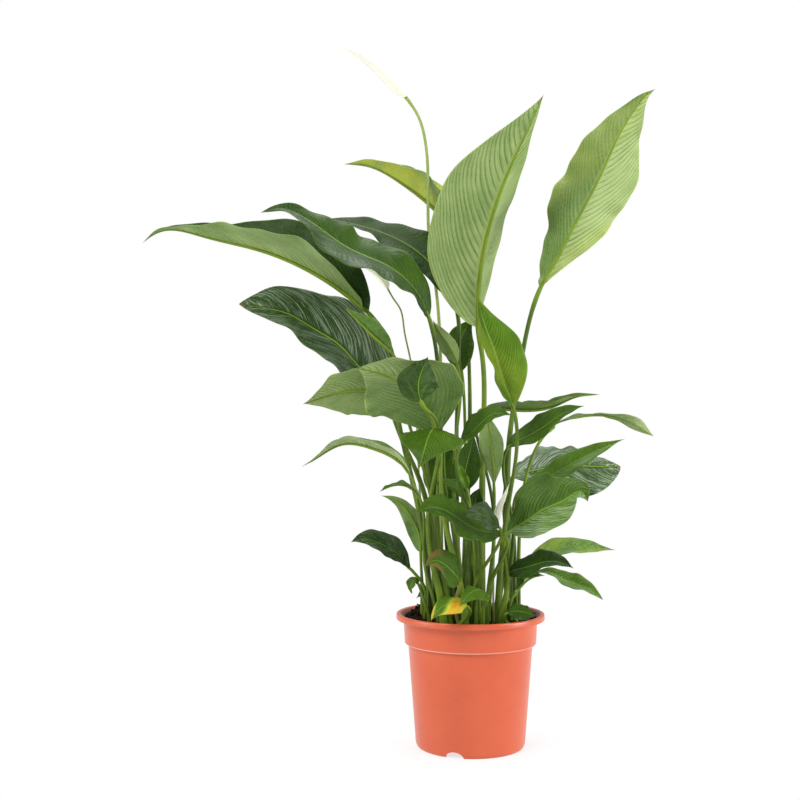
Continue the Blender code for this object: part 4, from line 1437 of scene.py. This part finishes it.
@dataclass
class Studio:
    """Plain soft light, a pale floor and the camera."""

    eye: Spot = (-0.0807, -1.367, 0.365)
    lens: float = 53.55
    rise: float = 0.03375
    sensor: float = 36.0
    floor_radius: float = 14.0
    floor_fade: float = 0.14
    surround: float = 0.34
    mirrored_share: float = 0.4
    lamps: tuple = (
        ("key", (-1.3, -1.5, 1.9), (0.0, 0.0, 0.4), 1.0, 40.0),
        ("fill", (1.6, -1.2, 1.0), (0.0, 0.0, 0.35), 0.8, 16.0),
        ("left strip", (-1.25, -0.35, 0.35), (0.0, 0.0, 0.2), 0.45, 5.0),
        ("right strip", (1.25, -0.35, 0.35), (0.0, 0.0, 0.2), 0.45, 9.0),
        ("top", (0.1, 0.5, 2.1), (0.0, 0.0, 0.5), 1.0, 26.0),
    )

    def camera(self) -> None:
        """Sets the camera level, looking along +Y."""
        data = bpy.data.cameras.new("camera")
        data.lens = self.lens
        data.sensor_width = self.sensor
        data.shift_y = self.rise
        made = bpy.data.objects.new("camera", data)
        made.location = self.eye
        made.rotation_euler = (math.pi / 2, 0.0, 0.0)
        bpy.context.scene.collection.objects.link(made)
        bpy.context.scene.camera = made

    def lamp(self, name: str, spot: Spot, aim: Spot, size: float, power: float) -> None:
        """Adds a square soft lamp.

        Args:
            name: its name.
            spot: where it hangs.
            aim: the point that it faces.
            size: its side.
            power: its power in watts.
        """
        data = bpy.data.lights.new(name, "AREA")
        data.shape = "SQUARE"
        data.size = size
        data.energy = power
        made = bpy.data.objects.new(name, data)
        made.location = spot
        made.rotation_euler = (Vector(aim) - Vector(spot)).to_track_quat("-Z", "Y").to_euler()
        bpy.context.scene.collection.objects.link(made)

    def floor(self) -> None:
        """Lays a wide white floor that fades into the white around it."""
        bpy.ops.mesh.primitive_circle_add(vertices=96, radius=self.floor_radius, fill_type="NGON")
        made = bpy.context.active_object
        made.name = "studio_floor"
        graph = Graph("studio paper")
        graph.surface((0.94, 0.94, 0.94), 0.9)
        distance = graph.node("ShaderNodeVectorMath", operation="LENGTH")
        graph.plug(distance.inputs[0], graph.place())
        share = graph.between(distance.outputs["Value"], 0.0, self.floor_fade, 0.6, 1.0)
        glow = graph.node("ShaderNodeEmission")
        glow.inputs["Strength"].default_value = 1.0
        mix = graph.node("ShaderNodeMixShader")
        graph.plug(mix.inputs[0], share)
        graph.tree.links.new(graph.shader.outputs[0], mix.inputs[1])
        graph.tree.links.new(glow.outputs[0], mix.inputs[2])
        graph.tree.links.new(mix.outputs[0], graph.tree.nodes["Material Output"].inputs["Surface"])
        made.data.materials.append(graph.material)

    def light(self) -> None:
        """Sets the white surround and the lamps."""
        world = bpy.data.worlds.new("studio white")
        bpy.context.scene.world = world
        world.use_nodes = True
        tree = world.node_tree
        plain = tree.nodes["Background"]
        plain.inputs["Color"].default_value = (1.0, 1.0, 1.0, 1.0)
        plain.inputs["Strength"].default_value = self.surround
        seen = tree.nodes.new("ShaderNodeBackground")
        seen.inputs["Color"].default_value = (1.0, 1.0, 1.0, 1.0)
        seen.inputs["Strength"].default_value = 1.0
        path = tree.nodes.new("ShaderNodeLightPath")
        mix = tree.nodes.new("ShaderNodeMixShader")
        mirrored = tree.nodes.new("ShaderNodeMath")
        mirrored.operation = "MULTIPLY"
        mirrored.inputs[1].default_value = self.mirrored_share
        tree.links.new(path.outputs["Is Glossy Ray"], mirrored.inputs[0])
        either = tree.nodes.new("ShaderNodeMath")
        either.operation = "MAXIMUM"
        tree.links.new(path.outputs["Is Camera Ray"], either.inputs[0])
        tree.links.new(mirrored.outputs[0], either.inputs[1])
        tree.links.new(either.outputs[0], mix.inputs[0])
        tree.links.new(plain.outputs[0], mix.inputs[1])
        tree.links.new(seen.outputs[0], mix.inputs[2])
        tree.links.new(mix.outputs[0], tree.nodes["World Output"].inputs["Surface"])
        for lamp in self.lamps:
            self.lamp(*lamp)

    def build(self) -> None:
        """Sets up the studio."""
        self.camera()
        self.floor()
        self.light()
        bpy.context.scene.view_settings.view_transform = "Standard"
        LOG.info("studio ready")


# --------------------------------------------------------------------------- plant


@dataclass
class PeaceLily:
    """The whole potted plant."""

    pot: Pot
    leaves: tuple[LeafPlan, ...]
    flowers: tuple[FlowerPlan, ...]

    def build(self) -> None:
        """Builds the pot, the soil, the leaves and the flowers."""
        self.pot.build(TERRACOTTA.dress())
        Soil(self.pot).build([PEAT.dress(), BARK.dress()])
        greens = [UPPER.dress(), UNDER.dress(), STALK.dress()]
        for number, plan in enumerate(self.leaves):
            start = round(number * PHASE_STEP % PHASE_TURN, 1)
            Leaf(plan, start=start).build(greens)
        scape, cream, knobs = SCAPE.dress(), CREAM.dress(), SPADIX.dress()
        for plan in self.flowers:
            flower = Flower(plan)
            flower.stalk(scape)
            flower.spathe(cream)
            flower.spadix(knobs)


# The pot's dust colour also paints the shade on its inner wall, and its ledge height places the painted
# highlight line at the collar step.
TERRACOTTA = PlasticFinish("pot terracotta", (0.56, 0.090, 0.030), (0.60, 0.104, 0.037),
                           (0.045, 0.017, 0.010), 0.30, 0.118)
PEAT = EarthFinish("soil peat", (0.008, 0.003, 0.002), (0.032, 0.012, 0.008), (0.09, 0.045, 0.028))
BARK = EarthFinish("soil bark", (0.035, 0.018, 0.010), (0.10, 0.055, 0.030), (0.22, 0.14, 0.08))
# UPPER's and UNDER's third colours also paint the shade in the grooves of the veins, and their last colours
# are the painted sheen.
UPPER = BladeFinish(Side.UPPER, (0.008, 0.030, 0.002), (0.115, 0.24, 0.010), (0.005, 0.022, 0.001),
                    (0.20, 0.35, 0.04), 0.035, 0.5, 0.15, 0.02, 0.9, (0.36, 0.44, 0.32))
UNDER = BladeFinish(Side.UNDER, (0.055, 0.14, 0.012), (0.37, 0.47, 0.18), (0.055, 0.13, 0.014),
                    (0.50, 0.62, 0.12), 0.07, 0.55, 0.25, 0.0, 0.82, (0.52, 0.58, 0.42))
STALK = StalkFinish("leaf stalk", (0.025, 0.062, 0.002), (0.18, 0.275, 0.018), 0.5)
SCAPE = StalkFinish("flower stalk", (0.16, 0.25, 0.04), (0.38, 0.46, 0.12), 0.45)
CREAM = PetalFinish("spathe cream", (0.93, 0.90, 0.79), (0.78, 0.80, 0.55))
SPADIX = SpadixFinish("spadix cream", (0.84, 0.80, 0.55), (0.52, 0.46, 0.20))

LEAVES = (
    LeafPlan("leaf_tall_centre", Slot.PALE, (12, -8), ((15, -6, 373), (13, -9, 447)), ((8, -12, 478),
             (9, -26, 542), (19, -44, 592), (38, -68, 646), (60, -96, 692), (71, -110, 716)), 66, 0.4,
             ((-0.59, 0.81, 0.2),), ((42, 56), (36, 54), (14, 30)), fresh=(0.74, 0.66), wave=1.6,
             stalk_fresh=0.7, sides=((0.8, 1.0), (0.85, 1.0), (0.62, 1.0), (0.5, 0.95))),
    LeafPlan("leaf_tall_right", Slot.PALE, (44, -4), ((44, -10, 350), (58, -18, 447)), ((77, -30, 521),
             (97, -36, 558), (119, -44, 601), (144, -52, 650), (161, -60, 688), (179, -64, 716),
             (188, -66, 727), (198, -68, 734)), 52, 0.42, ((0.05, 0.95, 0.3),),
             ((14, 78), (20, 54), (30, 30)), fresh=(0.95, 0.3), wave=4.2, waves=3.6, yellow=0.09,
             sides=((0.3, 0.95), (0.72, 1.0), (1.0, 1.0), (1.0, 0.9)), stalk_fresh=0.35),
    LeafPlan("leaf_high_left", Slot.LIME, (-6, 30), ((2, 42, 397), (1, 64, 518)), ((-3, 74, 577),
             (-42, 90, 636), (-81, 98, 667), (-120, 102, 687), (-150, 104, 690)), 32, 0.4,
             ((0, -0.1, 1),), (55, 62, 50), fresh=(0.5, 0.5), yellow=0.34, wave=2.4, stalk_fresh=0.4),
    LeafPlan("leaf_far_left", Slot.GREEN, (-46, -6), ((-67, -14, 305), (-85, -20, 396), (-90, -18, 450)),
             ((-116, -16, 494), (-165, -10, 534), (-243, 4, 570), (-308, 18, 587), (-365, 32, 594),
             (-384, 36, 582)), 52, 0.38, ((0, -0.3, 1),), ((46, 76), (52, 74), (48, 60), (40, 50)),
             fresh=(0.5, 0.05), sides=((1.1, 0.95), (1.0, 0.95), (0.85, 0.6), (0.7, 0.35)), wave=3.0,
             waves=2.8, stalk_fresh=0.4),
    LeafPlan("leaf_left_front", Slot.GREEN, (-22, -22), ((-35, -18, 350), (-39, -26, 443)),
             ((-48, -32, 487), (-65, -42, 519), (-93, -54, 542), (-135, -70, 559), (-178, -84, 587),
             (-212, -92, 599), (-230, -95, 594)), 42, 0.42, ((0.1, -0.62, 0.78),),
             ((32, 28), (14, 14), (20, 20)), fresh=(0.0, 0.14), painted_sheen=(0.16, 0.0), wave=3.6, waves=3.0,
             sides=((1.15, 0.85),), stalk_fresh=0.15),
    LeafPlan("leaf_left_back", Slot.DEEP, (-14, 12), ((-15, 14, 362), (-12, 20, 455)), ((-14, 24, 499),
             (-25, 32, 528), (-51, 44, 565), (-93, 58, 594), (-141, 70, 611), (-172, 78, 619)), 38, 0.42,
             ((0.2, -0.55, 0.8),), (35, 15, 20), fresh=(0.02, 0.04), wave=3.0, waves=2.8,
             stalk_fresh=0.1),
    LeafPlan("leaf_dark_left", Slot.DEEP, (-40, 8), ((-58, 8, 304), (-83, 2, 362)), ((-101, -2, 405),
             (-130, -8, 436), (-150, -14, 458), (-177, -22, 475), (-205, -32, 491), (-234, -42, 498),
             (-259, -50, 501)), 54, 0.36, ((0.35, -0.7, 0.6),), (30, 26, 20), fresh=(0.0, 0.0),
             painted_sheen=(0.62, 0.7), wave=2.4, tip_power=0.85),
    LeafPlan("leaf_slim_left", Slot.PALE, (-32, -24), ((-54, -48, 317), (-79, -66, 405)),
             ((-89, -70, 445), (-105, -76, 460), (-123, -82, 477), (-140, -88, 493)), 15, 0.45,
             ((0.3, 0.5, 0.8),), (50, 48, 40), fresh=(0.1, 0.05), stalk_fresh=0.5),
    LeafPlan("leaf_low_left_pale", Slot.PALE, (-30, 0), ((-44, -12, 282), (-58, -30, 362)),
             ((-72, -40, 393), (-103, -48, 404), (-136, -58, 405), (-163, -66, 398), (-186, -74, 390)),
             36, 0.4, ((0, 0.75, 0.6),), (10, 4, 10), fresh=(0.42, 0.42), tip_fresh=0.3, wave=2.6,
             waves=2.6),
    LeafPlan("leaf_centre_front", Slot.PALE, (-26, -38), ((-40, -48, 262),), ((-39, -64, 357),
             (-53, -84, 385), (-70, -104, 404), (-93, -124, 418), (-126, -140, 426)), 58, 0.48,
             ((-0.15, 0.45, 0.9),), (14, 6, 10), fresh=(0.12, 0.08), tip_fresh=0.8, wave=3.2, waves=2.9),
    LeafPlan("leaf_centre_dark", Slot.DEEP, (-8, -46),
             ((-35, -72, 286), (-38, -84, 351), (-45, -112, 376)), ((-59, -146, 391), (-62, -150, 407),
             (-58, -152, 423), (-52, -150, 437)), 22, 0.4, ((-0.1, -1, 0.1),), (10, 16, 24),
             fresh=(0.1, 0.2), painted_sheen=(0.1, 0.15), stalk_fresh=0.9, tip_power=1.5, wave=3.6, waves=2.6),
    LeafPlan("leaf_front_drooping", Slot.GREEN, (-32, -42), ((-50, -60, 263),), ((-39, -97, 353),
             (-44, -118, 364), (-51, -141, 356), (-56, -158, 342), (-61, -166, 324)), 34, 0.4,
             ((0, 0.3, 1), (0, -0.8, 0.8), (-0.2, -1, 0.2)), (-8, -14, -10), fresh=(0.45, 0.4), wave=2.2,
             waves=2.6, stalk_fresh=0.6),
    LeafPlan("leaf_thin_arch", Slot.PALE, (-48, -22), ((-51, -30, 216), (-61, -36, 283)),
             ((-68, -38, 310), (-82, -36, 328), (-109, -32, 341), (-145, -28, 346), (-178, -22, 328),
             (-192, -20, 320)), 12, 0.42, ((0, -0.2, 1),), ((60, 40), (60, 40), (40, 40)),
             fresh=(0.9, 0.85), painted_sheen=(0.65, 0.65)),
    LeafPlan("leaf_upright_green", Slot.GREEN, (30, -24), ((41, -40, 284),), ((44, -56, 386),
             (34, -62, 411), (22, -70, 447), (10, -76, 479), (3, -80, 506)), 32, 0.42,
             ((0.3, -0.95, 0),), ((62, 30), (60, 30), (40, 20)), fresh=(0.5, 0.8), yellow=0.08, wave=2.2,
             stalk_fresh=0.5),
    LeafPlan("leaf_upright_dark", Slot.DEEP, (4, 21), ((-4, 24, 326),), ((-8, 34, 430), (-10, 40, 456),
             (-5, 44, 478), (7, 46, 494)), 18, 0.42, ((-0.2, -1, 0.3),), (10, 20, 10), fresh=(0.3, 0.25)),
    LeafPlan("leaf_thin_spear", Slot.PALE, (-10, -10), ((-17, -4, 350),), ((-15, 2, 437), (-25, 4, 459),
             (-35, 4, 474), (-43, 4, 488)), 11, 0.4, ((-0.2, 0.8, 0.3),), (40, 30, 20), fresh=(0.6, 0.5),
             stalk_fresh=0.7),
    LeafPlan("leaf_right_near", Slot.GREEN, (4, -44), ((-2, -62, 263),), ((-15, -100, 347),
             (2, -106, 366), (19, -112, 379), (37, -116, 377)), 16, 0.42, ((-0.4, -0.6, 0.7),),
             (30, 20, 20), fresh=(0.3, 0.35), stalk_fresh=0.3),
    LeafPlan("leaf_right_twist", Slot.DEEP, (20, 20), ((22, 16, 303),), ((17, 14, 387), (41, 16, 387),
             (70, 14, 385), (96, 8, 389), (119, 0, 399), (147, -8, 402)), 15, 0.4,
             ((0, -0.4, 1), (0, 0.1, 1), (0, -0.7, 0.6)), (30, 50, 20), fresh=(0.05, 0.1), tip_fresh=0.5,
             stalk_fresh=0.1),
    LeafPlan("leaf_right_slant", Slot.GREEN, (37, -16), ((47, -14, 259), (36, -22, 316)),
             ((41, -28, 342), (58, -36, 353), (80, -48, 366), (98, -60, 380), (120, -72, 388)), 17, 0.4,
             ((-0.3, -0.7, 0.6),), (20, 20, 30), fresh=(0.28, 0.24), stalk_fresh=0.3),
    LeafPlan("leaf_right_long", Slot.GREEN, (55, -6), ((58, -4, 270), (69, -6, 327)), ((86, -2, 357),
             (106, 6, 372), (134, 16, 379), (159, 24, 379), (192, 32, 369), (219, 38, 354)), 15, 0.62,
             ((0, -0.05, 1), (0, -0.05, 1), (-0.4, 0.7, 0.7)), (10, 10, 24), fresh=(0.3, 0.3),
             painted_sheen=(0.5, 0.5), tip_fresh=0.8, stalk_fresh=0.85),
    LeafPlan("leaf_right_striped", Slot.DEEP, (34, 36), ((45, 46, 231),), ((53, 56, 304), (82, 68, 313),
             (114, 80, 318), (152, 92, 317), (192, 104, 316)), 42, 0.55, ((0.1, -0.55, 0.85),),
             ((4, -8), (8, -20), (0, -24)), fresh=(0.1, 0.1), painted_sheen=(1.0, 1.0), wave=3.2, waves=3.4,
             stalk_fresh=0.3, tip_power=0.75),
    LeafPlan("leaf_right_folded", Slot.GREEN, (50, 12), ((52, 14, 234),), ((59, 18, 292), (89, 28, 305),
             (120, 36, 321), (152, 44, 337), (187, 50, 351)), 14, 0.45, ((-0.2, -0.5, 0.8),),
             ((50, 0), (52, 0), (40, 10)), fresh=(0.35, 0.3), tip_fresh=1.0, stalk_fresh=0.3),
    # Its right half is made paler by a high fresh share and painted sheen: painted light falling on that
    # half.
    LeafPlan("leaf_right_front", Slot.GREEN, (30, -46), ((38, -54, 196),), ((36, -64, 248),
             (54, -78, 262), (73, -94, 277), (95, -110, 289), (110, -120, 297), (116, -122, 287)), 38,
             0.5, ((-0.25, -0.85, 0.5),), ((25, 30), (25, 30), (20, 20)), fresh=(0.34, 0.85),
             painted_sheen=(0.1, 0.9), wave=1.8, stalk_fresh=0.7),
    LeafPlan("leaf_left_low_front", Slot.GREEN, (16, -46), ((20, -60, 197),), ((34, -78, 246),
             (5, -89, 254), (-22, -102, 270), (-47, -111, 280), (-65, -118, 275)), 29, 0.5,
             ((0.1, -0.6, 0.9),), (12, 10, 20), fresh=(0.3, 0.42), wave=3.0, waves=3.2, stalk_fresh=0.3),
    LeafPlan("leaf_small_dark_front", Slot.DEEP, (0, -36), ((4, -54, 196),), ((26, -96, 257),
             (14, -108, 268), (1, -118, 274), (-12, -126, 271)), 16, 0.5, ((0, -0.8, 0.6),),
             (10, 10, 10), fresh=(0.0, 0.0), painted_sheen=(0.3, 0.3)),
    LeafPlan("leaf_low_left_dark", Slot.DEEP, (-52, -10), ((-54, -20, 186),), ((-68, -24, 204),
             (-83, -30, 222), (-103, -40, 235), (-125, -50, 241), (-135, -56, 238)), 17, 0.48,
             ((0.2, -0.75, 0.7),), (30, 20, 20), fresh=(0.05, 0.0), painted_sheen=(0.35, 0.3), stalk_fresh=0.5),
    LeafPlan("leaf_slim_upright_left", Slot.PALE, (-54, 6), ((-55, 6, 177),), ((-57, 4, 221),
             (-59, 2, 241), (-67, 0, 260), (-76, 0, 273), (-90, 0, 283), (-103, 2, 286)), 12, 0.32,
             ((-0.2, 1, 0.1),), (30, 24, 20), fresh=(0.3, 0.2), stalk_fresh=0.6),
    LeafPlan("leaf_thin_left", Slot.GREEN, (-38, -34), ((-54, -50, 218),), ((-59, -60, 287),
             (-68, -66, 299), (-81, -72, 303), (-94, -78, 300), (-103, -82, 295)), 8, 0.45,
             ((0, -0.15, 1),), (30, 20, 10), fresh=(0.55, 0.55)),
    LeafPlan("leaf_dry_edge", Slot.DRY, (-14, -41), ((-20, -50, 171),), ((-15, -62, 193),
             (-23, -74, 207), (-34, -86, 218), (-45, -96, 222), (-54, -102, 217)), 21, 0.42,
             ((0.3, -0.8, 0.6),), (10, 8, 14), fresh=(0.4, 0.35), dry=0.9, stalk_fresh=0.3,
             tip_power=1.4),
    LeafPlan("leaf_yellowing", Slot.YELLOW, (-16, -54), ((-4, -66, 162),), ((-7, -76, 170),
             (-18, -88, 177), (-31, -98, 176), (-42, -105, 169), (-48, -108, 160)), 14, 0.42,
             ((0, -0.7, 0.7),), (-6, -10, -6), fresh=(0.5, 0.6), yellow=0.85, stalk_fresh=0.5),
    LeafPlan("leaf_low_triangle", Slot.GREEN, (10, -56), ((11, -65, 168),), ((15, -76, 181),
             (5, -88, 190), (-7, -100, 187), (-18, -106, 175)), 15, 0.35,
             ((0.3, -0.3, 0.9), (-0.1, -0.6, 0.8)), (-6, -14, -6), fresh=(0.4, 0.42)),
    LeafPlan("leaf_low_right_dark", Slot.DEEP, (44, -28), ((40, -38, 172),), ((39, -44, 202),
             (54, -54, 209), (72, -66, 216), (90, -78, 219), (106, -88, 213)), 20, 0.38,
             ((-0.1, -0.6, 0.8),), (12, 14, 30), fresh=(0.08, 0.1), stalk_fresh=0.6),
    LeafPlan("leaf_low_right_pale", Slot.PALE, (56, 18), ((55, 22, 175),), ((67, 26, 202), (90, 34, 217),
             (118, 42, 224), (148, 48, 222), (177, 54, 218)), 13, 0.42, ((-0.1, -0.75, 0.65),),
             (20, 16, 14), fresh=(1.0, 1.0), painted_sheen=(0.55, 0.55), yellow=0.12, stalk_fresh=0.5),
    LeafPlan("leaf_low_right_drooping", Slot.GREEN, (58, -14), ((51, -16, 169),), ((69, -18, 199),
             (87, -22, 201), (108, -28, 192), (130, -34, 184), (146, -40, 172)), 12, 0.55,
             ((0.1, -0.65, 0.75),), (25, 25, 20), fresh=(0.6, 0.8), tip_fresh=0.6, painted_sheen=(0.2, 0.7)),
    LeafPlan("leaf_low_right_slim", Slot.PALE, (52, -42), ((41, -46, 162),), ((45, -50, 178),
             (55, -54, 193), (68, -58, 201), (78, -62, 202)), 8, 0.45, ((-0.7, -0.3, 0.7), (0, -0.2, 1)),
             (30, 30, 30), fresh=(0.6, 0.6), painted_sheen=(0.3, 0.3)),
    LeafPlan("leaf_on_soil_right", Slot.DEEP, (42, -54), ((34, -57, 155),), ((36, -60, 160),
             (45, -62, 163), (55, -63, 162), (68, -63, 158)), 11, 0.45, ((-0.1, -0.7, 0.7),), (4, 6, 4),
             fresh=(0.15, 0.1)),
    LeafPlan("leaf_rim_left", Slot.DEEP, (-28, 24), ((-34, 22, 156),), ((-34, 22, 167), (-41, 22, 174),
             (-52, 22, 172), (-62, 22, 165)), 9, 0.45, ((0.7, -0.4, 0.7), (0, -0.4, 1)), (30, 20, 20),
             fresh=(0.05, 0.0)),
    LeafPlan("leaf_small_drooping", Slot.PALE, (-46, -34), ((-54, -39, 171),), ((-60, -43, 190),
             (-64, -45, 195), (-68, -46, 191), (-67, -47, 180)), 6, 0.45,
             ((0.5, -0.5, 0.7), (-0.8, -0.5, 0.3)), (20, 20, 20), fresh=(0.4, 0.4)),
    LeafPlan("leaf_upright_pale", Slot.PALE, (18, -26), ((25, -28, 238),), ((25, -30, 296),
             (24, -32, 323), (20, -34, 353), (15, -36, 382)), 14, 0.55, ((0.2, 1, 0),), (10, 16, 10),
             fresh=(0.4, 0.55), stalk_fresh=0.6),
    LeafPlan("leaf_middle_broad", Slot.GREEN, (-4, -20), ((-6, -22, 215),), ((-10, -26, 289),
             (-8, -30, 312), (-3, -34, 335), (2, -38, 357)), 17, 0.42, ((0.1, -1, 0.1),), (20, 20, 20),
             fresh=(0.2, 0.12), stalk_fresh=0.3),
    LeafPlan("leaf_middle_arc", Slot.GREEN, (-14, -30), ((-7, -38, 216),), ((-8, -50, 284),
             (-17, -54, 295), (-30, -58, 303), (-43, -60, 302)), 10, 0.45, ((0, -0.6, 0.8),),
             (20, 20, 20), fresh=(0.2, 0.2), stalk_fresh=0.3),
    LeafPlan("leaf_middle_dark", Slot.DEEP, (-2, 8), ((4, 0, 212),), ((4, -8, 259), (4, -12, 273),
             (6, -14, 285), (10, -14, 296)), 11, 0.45, ((0, -1, 0.1),), (20, 20, 20), fresh=(0.02, 0.0),
             stalk_fresh=0.1),
    LeafPlan("leaf_young_spear", Slot.LIME, (8, -32), ((0, -38, 239),), ((-6, -42, 295), (-11, -44, 311),
             (-16, -46, 326)), 6, 0.4, ((0, -1, 0),), (30, 30, 30), fresh=(0.9, 0.9), stalk_fresh=0.9),
    LeafPlan("leaf_middle_back", Slot.GREEN, (-12, 50), ((-16, 56, 230),), ((-22, 60, 270),
             (-26, 60, 301), (-27, 60, 331), (-23, 58, 359)), 28, 0.45, ((0.1, -1, 0.1),), (14, 14, 14),
             fresh=(0.25, 0.2), stalk_fresh=0.1),
)

FLOWERS = (
    FlowerPlan(1, ((-31, 32, 143), (-32, 38, 279), (-32, 62, 445), (-37, 70, 530), (-46, 73, 602),
                   (-47, 68, 670), (-51, 62, 712), (-60, 56, 739), (-74, 50, 758)),
               ((-74, 50, 758), (-89, 48, 774), (-106, 46, 790), (-125, 42, 804), (-152, 38, 815)),
               12, (0.25, 0.95, 0.2), 30, 0.0021, 0.6),
    FlowerPlan(2, ((-46, 38, 143), (-59, 50, 326), (-70, 46, 453), (-76, 44, 482), (-81, 42, 506),
                   (-88, 40, 516), (-95, 38, 528)),
               ((-95, 38, 528), (-103, 36, 539), (-114, 34, 549), (-124, 30, 555), (-136, 26, 562)),
               8, (0.3, 0.9, 0.3), 34, 0.0012, 0.3),
    FlowerPlan(3, ((24, -36, 143), (23, -52, 218), (24, -62, 252)),
               ((24, -62, 252), (25, -68, 271), (31, -71, 286), (38, -73, 303)),
               7, (0.3, 1, 0.1), 40, 0.0012, 0.5),
)


def main() -> None:
    """Builds the plant and its studio."""
    logging.basicConfig(level=logging.INFO, format="%(name)s %(message)s")
    PeaceLily(Pot(), LEAVES, FLOWERS).build()
    Studio().build()
    bpy.context.view_layer.update()


if __name__ == "__main__":
    main()
